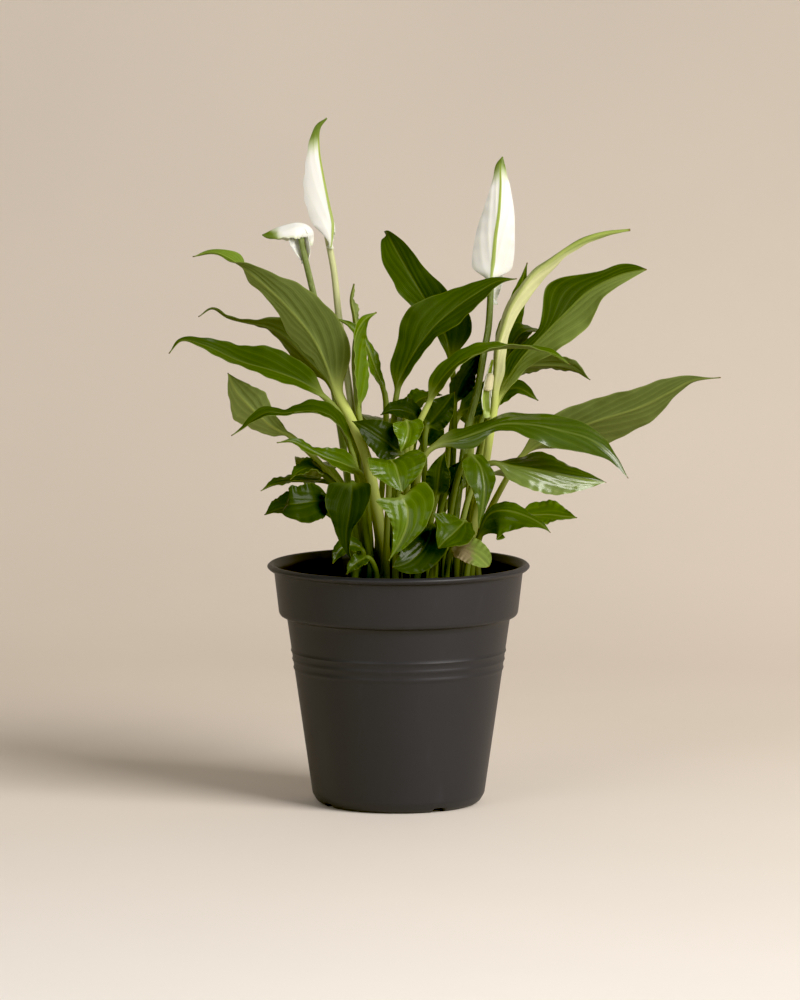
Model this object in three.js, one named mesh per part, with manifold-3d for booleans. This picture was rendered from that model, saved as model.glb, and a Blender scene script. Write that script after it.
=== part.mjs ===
// Potted peace lily: leaves, three blooms and a young bud, in a plastic nursery pot filled with potting soil.
// Millimetres, +Z up, origin in the middle of the pot's foot on the ground, front towards -Y.
import * as THREE from 'three';
import { mergeVertices } from 'three/addons/utils/BufferGeometryUtils.js';
import Module from 'manifold-3d';

const wasm = await Module();
wasm.setup();

// Driving dimensions of the pot
const POT_HEIGHT = 121;
const RIM_RADIUS = 65.75;
const RIM_DROP = 4.5;
const COLLAR_TOP_RADIUS = 62.3;
const COLLAR_FOOT_RADIUS = 59.9;
const COLLAR_FOOT = 96;
const BODY_TOP_RADIUS = 55.4;
const BODY_TOP = 90;
const BODY_FOOT_RADIUS = 43.2;
const BODY_FOOT = 5;
const FOOT_RADIUS = 38.75;
const FOOT_RING_WIDTH = 3.2;
const PAD_RADIUS = 15;
const WALL = 1.6;
const FLOOR_UNDER = 2.4;
const FLOOR_TOP = 4.4;
const FLOOR_CORNER = 1.5;
const POT_SIDES = 40;
const DRAIN_HOLES = 6;
const DRAIN_RADIUS = 4;
const DRAIN_CIRCLE = 25;
const DRAIN_SIDES = 10;
const NOTCHES = 4;
const NOTCH_WIDTH = 7;
const NOTCH_TURN = Math.PI / 6;

// Soil and the fit between pieces
const SOIL_TOP = 106;
const SOIL_MOUND = 3;
const SOIL_LUMP = 0.9;
const SOIL_SIDES = 36;
const SOIL_RINGS = 5;
const ROOT_DEPTH = 9;
const GAP = 0.3;

// Leaves: default blade, in mm and degrees
const LEAF_THICKNESS = 0.75;
const LEAF_KEEL = 0.35;
const BLADE_STATIONS = 10;
const STALK_STATIONS = 5;
const LEAF_DEFAULTS = {
  width: 10, peak: 0.36, sharp: 1.9, fold: 14, curl: 0.01, lobe: 0, wave: 0.9, waves: 2.5, phase: 0,
  points: 3, stations: BLADE_STATIONS, stalk: 1.5, neck: 1.3, left: [1, 1], right: [1, 1],
};

// Sight: every plant point is [across, up, depth]. Across and up are mm read on the upright plane through the
// pot's axis from an eye in front of it, and depth is how far behind that plane the point lies.
const EYE = new THREE.Vector3(0, -3100, 500);
const AIM = new THREE.Vector3(0.75, 0, 152.4);
const SIGHT_LENGTH = 3119.5;
const SIGHT_ACROSS = 0.75;
const SIGHT_UP = 151;
const TIP_HALF_WIDTH = 0.35;
const SHEATH = 0.45;
const SHEATH_SHARE = 0.35;
const WAVE_OFFSET = 0.31;

// Flower stalks, spathes and spadices
const STALK_SIDES = 6;
const STALK_STEPS = 14;
const STALK_FOOT_SWELL = 1.35;
const SPADIX_SIDES = 8;
const SPADIX_STEPS = 12;
const SPADIX_HOLLOW = 0.86;
const SPADIX_TAPER = 0.82;
const HOLE_SIDES = 6;
const HOLE_CLEARANCE = 0.9;
const SPATHE_DEFAULTS = {
  points: 5, peak: 0.36, sharp: 1.5, fold: 22, curl: 45, wave: 0.5, waves: 2, neck: 1.6, stations: 12,
};
const BLOOMS = [
  {
    name: 'bloom_left',
    stalk: {
      root: [-14, 30], radius: 1.6,
      rise: [
        [-16, 130, 30], [-21, 180, 30], [-26, 215, 31], [-30, 244, 32], [-32.4, 266, 33.5],
        [-35.6, 282.9, 34.5],
      ],
    },
    spathe: {
      blade: [
        [-34.2, 277.5, 29.8], [-33.4, 283, 30.1], [-33, 289, 30.8], [-35, 299, 31], [-38, 314, 31],
        [-40, 327, 31], [-39.5, 337, 31], [-36, 342, 31],
      ],
      faces: [[-0.85, 0.5, 0.1], [-0.85, 0.5, 0.1]],
      width: 11.5, fold: 36, curl: 40, peak: 0.3, stalk: 0.6,
      left: [0.2, 0.75, 1, 1, 1, 1], right: [0.2, 0.75, 1, 1, 1, 1],
    },
    spadix: { core: [[-36.3, 283.6, 34.6], [-40, 297, 34.2], [-43, 311, 34.2], [-45, 321, 34.2]], radius: 3 },
  },
  {
    name: 'bloom_bud',
    stalk: {
      root: [-21, 17], radius: 1.5,
      rise: [
        [-22, 130, 18], [-28, 180, 20], [-36, 225, 22], [-43, 256, 20], [-47, 273, 19], [-49.5, 286, 19],
      ],
    },
    spathe: {
      blade: [
        [-44.8, 279, 22.3], [-43.5, 281.5, 22], [-43.2, 285, 20.5], [-46.2, 288.2, 19.5], [-50.8, 289.2, 19],
        [-56.2, 288.2, 18.5], [-60.8, 286.7, 18], [-68, 283.3, 18],
      ],
      faces: [[-1, -0.2, 0], [-0.7, -0.1, -0.7], [0, -0.2, -1], [0, -0.2, -1]],
      width: 8, fold: 40, curl: 60, peak: 0.5, sharp: 1.3,
    },
  },
  {
    name: 'bloom_right',
    stalk: {
      root: [27, 4], radius: 1.6,
      rise: [
        [27.5, 130, 5], [30, 155, 6], [35, 189, 8], [39, 204, 10], [43, 226, 12], [45, 237.5, 13],
        [46, 254.5, 14], [46.3, 264.5, 16],
      ],
    },
    spathe: {
      blade: [
        [46.3, 264, 12], [47.3, 272, 12], [48.5, 283, 11], [50.2, 295, 11], [51, 308, 12], [51, 318, 13],
        [52, 322.5, 14],
      ],
      faces: [[0, 1, 0], [0, 1, 0]], width: 12.5, fold: 18, curl: 36, peak: 0.2, sharp: 1.3, lobe: 4,
      left: [1, 1, 1, 1, 1, 1.05, 1.8], right: [1.7, 1.05, 1, 1, 1, 1.05, 1.8],
    },
    spadix: { core: [[46.4, 264.85, 16.4], [48, 278, 18.5], [49.3, 290, 19], [50, 301, 19]], radius: 3.4 },
  },
];
const YOUNG_BLOOM = {
  spathe: {
    blade: [[44, 192.5, 2.2], [43.2, 201, 1], [44.5, 211, 0.5], [47, 221, 0]],
    faces: [[0.3, -1, 0], [0.3, -1, 0]], width: 3.4, fold: 30, curl: 40, stations: 8,
  },
  spadix: { core: [[44.5, 205.5, -0.6], [45.2, 210, -0.6], [46, 214.5, -0.6]], radius: 2.6 },
};

// Leaves: name, root on the soil [x, y], rise of the stalk, blade from its base to its tip, ways that the
// upper side faces from base to tip, and what differs from the defaults
const LEAVES = [
  ['leaf_tall_left', [-8, -12], [[-7, 120, -12], [-11, 147, -14], [-16, 172, -14], [-23, 189.5, -12]],
    [[-29, 201.5, -10], [-41, 230, -4], [-56, 248.5, 0], [-69, 260.5, 3], [-81, 270, 6], [-92, 275, 9],
     [-103, 273, 11]],
    [[0.25, 0.9, 0.3], [0.3, 0.9, 0.3], [0.3, 0.9, 0.3], [0.3, 0.88, 0.35], [0.3, 0.85, 0.4],
     [-0.05, -0.25, 1], [-0.1, -0.6, 0.7]],
    { width: 15.5, fold: 9, neck: 2.4, stalk: 2.6, left: [1, 1, 1.1, 1.1, 1, 0.9, 0.7, 0.6, 0.8, 1, 1],
      right: [0.2, 0.3, 0.45, 0.7, 0.8, 0.5, 0.4, 0.6, 1.2, 0.9, 0.9] }],
  ['leaf_narrow_upright', [-9, -3], [[-10, 130, -4], [-16, 165, -6], [-18.5, 186, -8]],
    [[-20, 195, -9], [-21.5, 207, -10], [-22.5, 222, -11], [-21, 234, -11], [-17, 241, -10],
     [-11, 245, -8]],
    [[0.9, -0.38, 0.1], [0.88, -0.4, 0.1], [0.4, -0.5, 0.6]], { width: 9, fold: 30, wave: 0.2 }],
  ['leaf_left_long', [-15, -6], [[-16, 130, -6], [-20, 160, -7], [-22, 177, -8], [-28, 192, -12]],
    [[-36, 201.5, -14], [-47, 209.5, -16], [-62, 215.5, -18], [-79, 220.5, -20], [-97, 228.5, -22],
     [-109, 231, -23], [-115, 224.5, -24]],
    [[0.2, -0.5, 0.8], [0.1, -0.45, 0.85]],
    { width: 12.5, fold: 14, left: [1.1, 0.75, 0.8, 0.7, 0.7, 0.6], right: [1.2, 1.1, 1.1, 1, 0.65, 0.5] }],
  ['leaf_left_twisted', [-16, 9], [[-17, 130, 10], [-22, 170, 12], [-29, 197, 14]],
    [[-34.2, 209.0, 15], [-45.2, 221.5, 16], [-55.8, 232.5, 17], [-65.2, 238.0, 17], [-75.2, 240.0, 17],
     [-85.2, 242.5, 17], [-93.2, 247.0, 17], [-100.2, 243.0, 17]],
    [[0.2, 0.9, 0.4], [0.1, 0.7, 0.6], [0, 0.4, 0.9], [0, -0.3, 0.9]],
    { width: 9, fold: 16, left: [0.9, 1.2, 1.25, 0.5, 0.6, 0.8], right: [0.9, 1.2, 1.0, 0.4, 0.6, 0.8] }],
  ['leaf_left_arching', [-14, -14], [[-15, 130, -16], [-18, 150, -18], [-20.5, 163, -20]],
    [[-23.2, 174.5, -22], [-26.8, 184, -24], [-32.2, 192, -27], [-40.2, 195.5, -30], [-49.2, 195.5, -33],
     [-57.7, 194.5, -36], [-65.2, 195, -38], [-71.7, 192, -40], [-77.7, 187.5, -42], [-83.7, 183.5, -44]],
    [[0.5, -0.3, 0.8], [0, -0.35, 0.95], [-0.2, -0.5, 0.85]],
    { width: 9.5, fold: 14, left: [1, 1, 0.85, 0.6, 1, 1], right: [1, 1, 0.85, 0.6, 1, 1], peak: 0.3,
      stations: 11 }],
  ['leaf_left_upturned', [-20, 1], [[-21, 130, 0], [-28, 155, -6], [-39, 169, -12]],
    [[-54, 183, -18], [-64, 189, -19], [-74, 198, -19], [-81, 206, -18], [-85, 214.5, -16]],
    [[0.3, 0.85, 0.4], [0.3, 0.85, 0.4]],
    { width: 12.5, fold: 12, peak: 0.45, left: [0.3, 0.5, 0.65, 0.9, 0.9, 0.7],
      right: [0.8, 0.75, 1, 1.25, 1, 0.6] }],
  ['leaf_left_low', [-13, -21], [[-14, 130, -22], [-15.5, 148, -24], [-17, 158, -26]],
    [[-19.5, 164.5, -29], [-26.7, 169.0, -33], [-36.7, 172.5, -37], [-45.2, 176.7, -40],
     [-53.2, 180.5, -43], [-60.7, 180, -45]],
    [[0.2, -0.5, 0.8], [0.1, -0.5, 0.8], [0, -0.7, 0.7]],
    { width: 9.5, fold: 14, left: [1, 1, 0.7, 0.6, 0.8, 1], right: [1, 1, 0.7, 0.6, 0.8, 1], peak: 0.25 }],
  ['leaf_left_small', [-20, -22], [[-21, 130, -23], [-26, 150, -25], [-33, 160, -27]],
    [[-37, 163.5, -30], [-41, 166.5, -33], [-46, 167, -36], [-51, 164.5, -38], [-54.5, 161.5, -39]],
    [[0.2, -0.4, 0.9], [-0.3, -0.4, 0.8]], { width: 7, fold: 14, stations: 8 }],
  ['leaf_left_thin', [-22, -8], [[-23, 130, -9], [-27, 150, -13], [-31, 158, -16]],
    [[-36, 160.5, -18], [-46, 161, -22], [-57, 160.5, -25], [-64, 158.5, -27], [-69, 156, -28]],
    [[0, -0.15, 1], [0, -0.2, 1]], { width: 8, fold: 10, stations: 8 }],
  ['leaf_left_round', [-21, -29], [[-22, 125, -30], [-26, 143, -33], [-31, 150, -36]],
    [[-34, 151, -38], [-42, 150.5, -45], [-49, 149.5, -49], [-54.5, 149, -50], [-57, 148, -46]],
    [[0, -0.85, 0.5], [-0.1, -0.85, 0.5]],
    { width: 10.5, fold: 8, peak: 0.5, sharp: 1.3, left: [0.7, 0.9, 1.1, 1.2, 1.1, 0.6],
      right: [1.6, 1.2, 0.9, 0.9, 1.1, 1] }],
  ['leaf_left_behind_round', [-21, -15], [[-22, 122, -15], [-31, 141, -16]],
    [[-42, 147.5, -18], [-51, 148, -22], [-59, 147, -27], [-67, 144, -32]],
    [[0, -0.6, 0.8], [-0.2, -0.6, 0.7]], { width: 9, fold: 12 }],
  ['leaf_hanging_dark', [-14, -34], [[-15, 125, -35], [-18, 146, -36], [-21, 156, -38]],
    [[-23, 159.5, -42], [-23.5, 152, -48], [-24.5, 144, -51], [-26, 134, -52], [-25.5, 126, -51],
     [-23, 120, -50]],
    [[0, -0.4, 1], [-0.15, -0.98, 0.1], [-0.15, -1, -0.15]],
    { width: 12.5, fold: 14, peak: 0.24, sharp: 2.4, lobe: 6, left: [1, 0.8, 0.7, 0.45, 0.6, 1],
      right: [1.1, 1, 1.1, 1, 1, 1.2] }],
  ['leaf_front_heart', [-2, -34], [[-1, 125, -35], [0, 142, -37], [1, 150, -40]],
    [[1, 152.5, -44], [4.3, 147, -48], [4.5, 139.5, -50], [1.5, 131, -51], [-5, 120.5, -51]],
    [[0, -0.5, 0.9], [0, -0.95, 0.3], [0, -1, 0.2]],
    { width: 14.5, fold: 10, peak: 0.24, sharp: 2.3, lobe: 11, left: [1.2, 1, 0.8, 0.7, 0.8, 1],
      right: [1.2, 1, 0.8, 0.75, 0.8, 1] }],
  ['leaf_front_drooping', [-6, -25], [[-6, 130, -26], [-5, 153, -27], [-4.5, 166, -28.5]],
    [[-4, 170, -31], [-2, 169, -37], [0, 163, -42], [2, 155, -45]],
    [[0, -0.3, 0.95], [0, -0.7, 0.7]], { width: 16, fold: 22, peak: 0.4 }],
  ['leaf_front_small', [4, -10], [[4, 130, -10], [4, 165, -10], [3.5, 186, -11]],
    [[4, 190, -14], [5, 187, -21], [4, 181, -26], [1, 175, -28]],
    [[0, -0.4, 0.9], [0, -0.8, 0.6]], { width: 8, fold: 16 }],
  ['leaf_centre_dark', [4, 14], [[5, 130, 13], [6.5, 165, 9], [8, 181, 4.5]],
    [[12, 190.5, 3], [5, 195, 0], [-3, 196, -3], [-9, 194, -5]],
    [[0.3, -0.6, 0.7], [-0.2, -0.6, 0.7]], { width: 8, fold: 10 }],
  ['leaf_centre_arching', [2, -1], [[3, 130, -1], [5, 165, -3], [7, 182.5, -6], [11, 191, -8]],
    [[14.5, 198, -9], [21, 211, -10], [31, 220.5, -11], [46, 226.5, -13], [62, 227.5, -15],
     [77, 224.5, -17], [86, 219, -18]],
    [[-0.6, -0.6, 0.5], [-0.3, -0.3, 0.85], [-0.1, 0.1, 1], [0.1, -0.5, 0.85]],
    { width: 9.5, fold: 12, wave: 0.5 }],
  ['leaf_centre_broad', [-5, 8], [[-5, 130, 8], [-4, 170, 8], [-2, 195, 8]],
    [[-1, 203.5, 8], [2, 214, 8], [9, 226.5, 7], [18, 238, 6], [29, 247.5, 5], [40, 255, 4], [50, 260.5, 3],
     [59, 262, 2]],
    [[-0.5, -0.7, 0.3], [-0.4, -0.75, 0.5], [-0.3, -0.75, 0.6], [-0.1, -0.6, 0.8]],
    { width: 13.5, fold: 14, left: [0.9, 0.8, 1.25, 1, 0.95, 0.7], right: [0.5, 0.4, 0.55, 0.95, 1.3, 1] }],
  ['leaf_tall_back', [17, 24], [[19, 130, 25], [24, 170, 27], [28, 200, 29]],
    [[26.5, 219, 30], [23, 235, 31], [13.5, 251, 32], [4, 267, 33], [-2, 277.5, 35], [-5.5, 284, 40],
     [-7.5, 285, 47]],
    [[0.0, -0.95, -0.2], [-0.1, -0.95, -0.15]],
    { width: 14.5, fold: 14, peak: 0.38, left: [0.4, 0.35, 0.5, 0.8, 1.2, 1.2],
      right: [1.1, 1.25, 0.9, 0.7, 0.9, 0.5] }],
  ['leaf_back_dark', [24, 16], [[25, 130, 16], [27, 165, 16], [28, 190, 16]],
    [[28, 199, 16], [31, 209, 16], [36, 218, 16], [42, 226, 17]],
    [[0.6, -0.7, 0], [0.6, -0.7, 0]], { width: 7.5, fold: 12, stations: 8 }],
  ['leaf_new_rolled', [33, 2], [[36, 130, 3], [42, 160, 4], [46, 185, 5]],
    [[48, 199, 5], [48.4, 212, 5], [49.6, 226, 5], [52.5, 237, 5], [56, 247, 5], [63, 258, 5], [68, 264, 5],
     [76.2, 270.5, 5], [84, 276.3, 5], [93.5, 281.5, 5], [102, 284.2, 5], [115.8, 286, 5]],
    [[0.7, 0.7, 0.1], [0.4, 0.8, -0.2], [0.3, 0.8, -0.3]],
    { width: 9.5, fold: 38, curl: 26, peak: 0.3, neck: 3, stalk: 2,
      left: [0.6, 0.6, 0.5, 0.45, 0.6, 0.7, 0.8, 0.7, 0.9, 1.3, 1.5],
      right: [0.8, 1.4, 1.6, 1.35, 1.3, 0.7, 0.7, 0.5, 1, 1, 1.2] }],
  ['leaf_right_upper', [30, 10], [[33, 130, 11], [39, 160, 12], [44.5, 186, 12]],
    [[49, 200, 12], [53.5, 209.5, 12], [61, 221, 12], [73, 234, 11], [83, 244, 10], [96, 256, 9],
     [111, 263.5, 8], [124, 266.5, 7]],
    [[-0.4, -0.8, 0.4], [-0.4, -0.8, 0.4], [-0.3, -0.8, 0.5]],
    { width: 15.5, fold: 12, peak: 0.5, wave: 1.8, left: [0.3, 0.6, 0.3, 1.15, 0.6, 1.1],
      right: [1.1, 0.55, 1, 1.05, 0.8, 0.8] }],
  ['leaf_right_behind', [38, 18], [[38.5, 130, 18], [41, 165, 20], [45, 186, 22], [51, 203, 23]],
    [[57, 211, 24], [62, 217.5, 25], [74, 219, 27], [86, 217.5, 29], [96, 211.5, 31]],
    [[-0.3, 0.7, 0.6], [0, 0.6, 0.8], [0.2, 0.5, 0.8]], { width: 9, fold: 12 }],
  ['leaf_right_hidden', [31, 26], [[32, 130, 26], [38, 165, 27], [43, 186, 28], [48, 204, 29]],
    [[53, 219, 29], [57, 229, 32], [62, 235, 38], [70, 236, 46], [78, 231, 56]],
    [[-0.3, -0.4, 0.8], [0, -0.2, 0.9]], { width: 9, fold: 12 }],
  ['leaf_right_tip', [23, 34], [[24, 130, 35], [31, 165, 40], [41, 190, 47], [47, 208, 50]],
    [[50, 219, 51], [54, 235, 51], [59, 249.5, 50], [62, 260.5, 49], [64.5, 269.5, 48]],
    [[0.3, -0.9, 0], [0.3, -0.9, 0.1]], { width: 6, fold: 18 }],
  ['leaf_far_right', [40, 8], [[39, 128, 8], [43, 140, 8], [52, 158, 7]],
    [[60, 171, 6], [67, 177.5, 5], [80, 183.5, 3], [96, 190, 0], [121, 198, -4], [135, 205, -7],
     [147, 211, -9], [161, 212.5, -10]],
    [[-0.3, 0.8, 0.4], [-0.3, 0.9, 0.4]],
    { width: 15.5, fold: 12, peak: 0.4, sharp: 2.5, stations: 12, left: [0.4, 0.8, 1.25, 1.1, 0.6, 0.5],
      right: [0.9, 0.9, 0.7, 0.85, 1, 0.3] }],
  ['leaf_right_long', [9, -16], [[9, 130, -17], [9, 155, -19], [11, 168, -21]],
    [[14.5, 175, -23], [22, 179.5, -25], [31, 182, -27], [41, 185.5, -28], [51, 189, -29], [66, 189, -31],
     [81, 186, -33], [96, 181.5, -35], [107, 173, -37], [115, 162, -38]],
    [[0, -0.8, 0.6], [0, -0.8, 0.6], [0, -0.65, 0.75], [0.15, -0.75, 0.6], [0.35, -0.85, 0.35]],
    { width: 10.5, fold: -8, wave: 2, waves: 1.6, phase: 0.25, peak: 0.45, sharp: 1.5, stations: 13,
      left: [1.5, 1.4, 0.8, 0.7, 1.1, 1, 1.1, 1.1, 1, 0.6, 0.4],
      right: [0.4, 0.6, 0.8, 0.35, 0.5, 0.9, 1.0, 0.95, 0.9, 0.6, 0.5], curl: -20 }],
  ['leaf_right_glossy', [28, -12], [[30, 130, -13], [36, 155, -15], [42, 167, -17]],
    [[47, 169.5, -20], [59, 168, -21], [74, 165.5, -19], [88, 162.5, -15], [104, 160, -10]],
    [[0.1, -0.75, 0.62], [0.25, -0.72, 0.6]],
    { width: 13, fold: -8, peak: 0.42, left: [0.3, 0.7, 1.2, 1.1, 1.1, 1],
      right: [0.8, 0.8, 0.9, 0.9, 0.9, 0.8], curl: -25 }],
  ['leaf_right_hanging', [22, -20], [[24, 130, -21], [29, 160, -23], [33, 171, -26]],
    [[35, 173.5, -30], [40.5, 169, -36], [43, 159, -41], [42.5, 149, -43], [40, 136.5, -44]],
    [[0.2, -0.5, 0.8], [0.2, -0.9, 0.3]],
    { width: 8, fold: 14, peak: 0.34, left: [1, 0.6, 0.75, 0.5, 0.4, 0.3],
      right: [1.6, 1.5, 1.4, 0.9, 0.75, 1] }],
  ['leaf_right_low', [33, -22], [[35, 120, -24], [38.5, 127, -26]],
    [[40.5, 132, -28], [42, 139, -30], [46, 144.5, -33], [53, 146, -37], [63, 143.5, -41], [71, 139.5, -45],
     [76, 135, -48]],
    [[-0.8, -0.7, 0.2], [0, -0.8, 0.6], [0.1, -0.7, 0.7]],
    { width: 11, fold: -12, peak: 0.42, left: [0.7, 0.3, 0.5, 0.5, 0.3, 0.5],
      right: [1.6, 1.5, 1.4, 1, 0.9, 0.4] }],
  ['leaf_right_low_back', [36, -9], [[37, 120, -10], [41, 134, -14], [50, 142, -18]],
    [[60, 143.5, -21], [68, 143.8, -24], [76, 143.8, -28], [83, 143, -33], [89, 142.5, -37]],
    [[0, -0.6, 0.7], [0, -0.7, 0.7]], { width: 8.5, fold: 10 }],
  ['leaf_front_cupped', [16, -34], [[18, 120, -35], [26, 133, -37]],
    [[33, 140, -40], [31, 138, -46], [27, 134, -51], [23.5, 131, -54], [20, 127, -55]],
    [[0.1, -0.6, 0.8], [0.2, -0.8, 0.5]],
    { width: 11.5, fold: 20, peak: 0.42, sharp: 1.5, left: [0.5, 0.6, 0.9, 1, 0.8, 0.6],
      right: [1.1, 0.9, 0.95, 1.35, 0.9, 0.8] }],
  ['leaf_old_yellow', [24, -36], [[24, 114, -37], [25, 122, -40]],
    [[26.2, 125.5, -43], [32.2, 127.0, -48], [39.2, 123.5, -52], [45.2, 118.0, -56]],
    [[0, -0.8, 0.5], [0, -0.8, 0.5]], { width: 7, fold: 8, stations: 8, peak: 0.5, sharp: 1.1, wave: 0.3 }],
  ['leaf_low_dark', [8, -30], [[10, 115, -31], [14, 132, -33]],
    [[17, 138, -36], [15, 131, -43], [10, 124, -48], [4, 119.5, -51], [-3, 117.5, -53]],
    [[0, -0.7, 0.7], [0, -0.95, 0.3]], { width: 11, fold: 8, peak: 0.42, sharp: 1.6 }],
  ['leaf_rim_left', [-22, -37], [[-21, 115, -38], [-18, 121, -39]],
    [[-18, 125.5, -40], [-22, 128.5, -42], [-28, 127, -45], [-33, 119.5, -50]],
    [[0.2, -0.6, 0.8], [-0.2, -0.9, 0.5]], { width: 5, fold: 14, stations: 7 }],
  ['leaf_rim_front', [-10, -40], [[-11, 114, -42], [-14, 121, -47]],
    [[-16, 122, -50], [-19, 121, -54], [-23, 118, -57], [-26, 114, -58]],
    [[0, -0.6, 0.8], [0, -0.9, 0.5]], { width: 4, fold: 12 }],
  ['leaf_front_left_dark', [-3, -17], [[-2, 130, -18], [0, 155, -18], [2, 166, -17]],
    [[2, 173, -17], [-4, 178.5, -19], [-10, 183, -21], [-17, 187.5, -23], [-23, 190.5, -23]],
    [[0.1, -0.9, 0.4], [0, -0.9, 0.4]], { width: 9.5, fold: 10 }],
  ['leaf_centre_upright', [13, 2], [[13, 130, 2], [13, 165, 0], [13, 180, -1]],
    [[14, 187, -2], [18, 192, -2], [23, 198, -2], [28, 205, -1]],
    [[-0.3, -0.9, 0.1], [-0.3, -0.9, 0.1]], { width: 8, fold: 12 }],
  ['leaf_centre_bright', [2, 20], [[2.8, 130.0, 20], [2.8, 170.0, 20], [2.8, 189.0, 20]],
    [[4.8, 195.0, 20], [8.8, 200.0, 21], [14.2, 203.0, 24], [21.8, 204.0, 28]],
    [[-0.4, -0.5, 0.7], [-0.2, -0.4, 0.8]], { width: 8, fold: 12 }],
  ['leaf_centre_back', [20, 40], [[21, 130, 40], [24, 165, 39], [27, 185, 38]],
    [[30, 193, 38], [36, 197.5, 38], [44, 201.5, 38], [52, 205.5, 38], [60, 207, 38], [70, 201, 38]],
    [[-0.2, -0.8, 0.6], [0, -0.7, 0.7]], { width: 9, fold: 14 }],
  ['leaf_tip_hooked', [31, 38], [[33, 130, 41], [36, 170, 50]],
    [[37, 186, 55], [38, 193, 62], [40, 193, 74], [43, 185, 88]],
    [[0, 0, 1], [0, 0.3, 1]], { width: 10, fold: 12 }],
  ['leaf_back_left', [-10, 18], [[-10.2, 130.0, 18], [-7.2, 170.0, 19], [-6.2, 195.0, 20]],
    [[-6.8, 204.0, 20], [-11.8, 218.0, 20], [-16.2, 229.0, 20], [-23.2, 237.5, 20], [-31.2, 242.5, 20]],
    [[0.8, -0.6, 0.2], [0.7, -0.6, 0.3]],
    { width: 6.5, fold: 14, right: [0.6, 0.5, 0.6, 0.8, 1], left: [0.8, 0.9, 0.8, 0.8, 1] }],
  ['leaf_rolled_tip', [-20, 25], [[-20, 130, 25], [-20, 175, 26], [-20, 215, 26]],
    [[-21, 235, 26], [-22, 243, 26], [-23.5, 251, 26], [-22, 259, 26]],
    [[0.8, 0.6, 0], [0.8, 0.6, 0]], { width: 2.6, fold: 50, stations: 7 }],
  ['leaf_slim_dark', [18, -8], [[19, 130, -8], [21, 146, -9]],
    [[23.5, 154, -10], [27, 161, -12], [30, 167, -14], [32, 171, -16]],
    [[-0.3, -0.8, 0.3], [-0.3, -0.8, 0.3]], { width: 6, fold: 12, stations: 8 }],
  ['leaf_centre_low', [14, -24], [[15, 130, -26], [17, 145, -28]],
    [[19, 153, -30], [20, 161, -32], [21, 168, -33], [23, 175, -34]],
    [[-0.2, -0.9, 0.3], [-0.2, -0.9, 0.3]], { width: 6.5, fold: 12, stations: 8 }],
  ['leaf_centre_shade', [9, 6], [[9, 130, 6], [9, 160, 6], [10, 172, 7]],
    [[12, 178, 8], [15, 184, 9], [17, 190, 10], [17, 196, 11]],
    [[0, -0.9, 0.3], [0, -0.9, 0.3]], { width: 8, fold: 12, stations: 8 }],
  ['leaf_rear_left', [-16, 38], [[-18, 130, 42], [-26, 155, 50]],
    [[-33, 166, 58], [-38, 170, 70], [-42, 166, 84], [-46, 156, 96]],
    [[0, 0.1, 1], [0, 0.6, 0.8]], { width: 13, fold: 12 }],
  ['leaf_rear_middle', [-2, 34], [[-2, 130, 38], [-3, 165, 48]],
    [[-4, 182, 57], [-5, 191, 72], [-6, 190, 90], [-7, 180, 106], [-8, 168, 116]],
    [[0, 0, 1], [0, 0.5, 0.9]], { width: 15, fold: 12 }],
  ['leaf_rear_right', [12, 44], [[14, 125, 48], [22, 145, 56]],
    [[30, 156, 64], [40, 163, 76], [52, 164, 90], [64, 158, 102]],
    [[0, 0, 1], [0.3, 0.5, 0.8]], { width: 13, fold: 12 }],
];

const UP = new THREE.Vector3(0, 0, 1);
const FORWARD = AIM.clone().sub(EYE).normalize();
const RIGHT = FORWARD.clone().cross(UP).normalize();
const ABOVE = RIGHT.clone().cross(FORWARD);

// The point in space that lies on the line of sight through [across, up], at the given depth
function place([across, up, depth]) {
  const ray = FORWARD.clone()
    .addScaledVector(RIGHT, (across - SIGHT_ACROSS) / SIGHT_LENGTH)
    .addScaledVector(ABOVE, (up - SIGHT_UP) / SIGHT_LENGTH);
  return EYE.clone().addScaledVector(ray, (depth - EYE.y) / ray.y);
}

// Closed rings of equally many points, joined by quads and capped at both ends. The quads of the second half
// of a ring are split the other way, so that a blade's upper and under faces are split alike.
function loft(rings) {
  const sides = rings[0].length;
  const points = rings.flat();
  const index = [];
  for (let r = 0; r < rings.length - 1; r += 1) {
    for (let k = 0; k < sides; k += 1) {
      const a = r * sides + k;
      const b = r * sides + ((k + 1) % sides);
      const flip = k >= sides / 2;
      if (flip) index.push(a, b, a + sides, b, b + sides, a + sides);
      else index.push(a, b, b + sides, a, b + sides, a + sides);
    }
  }
  const last = (rings.length - 1) * sides;
  for (let k = 0; k < sides / 2 - 1; k += 1) {
    const [p, q, s, t] = [k, k + 1, sides - 2 - k, sides - 1 - k];
    index.push(p, s, q, p, t, s);
    index.push(last + p, last + q, last + s, last + p, last + s, last + t);
  }
  const geometry = new THREE.BufferGeometry();
  const numbers = points.flatMap((point) => point.toArray());
  geometry.setAttribute('position', new THREE.Float32BufferAttribute(numbers, 3));
  geometry.setIndex(index);
  return geometry;
}

const unit = (v) => v.clone().normalize();
const across = (v, along) => unit(v.clone().addScaledVector(along, -v.dot(along)));
const mix = (a, b, share) => a + (b - a) * share;

function blend(keys, share) {
  const at = share * (keys.length - 1);
  const first = Math.min(Math.floor(at), keys.length - 2);
  const [from, to] = [keys[first], keys[first + 1]].map((key) => new THREE.Vector3(...key));
  return from.lerp(to, THREE.MathUtils.smoothstep(at - first, 0, 1));
}

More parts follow.
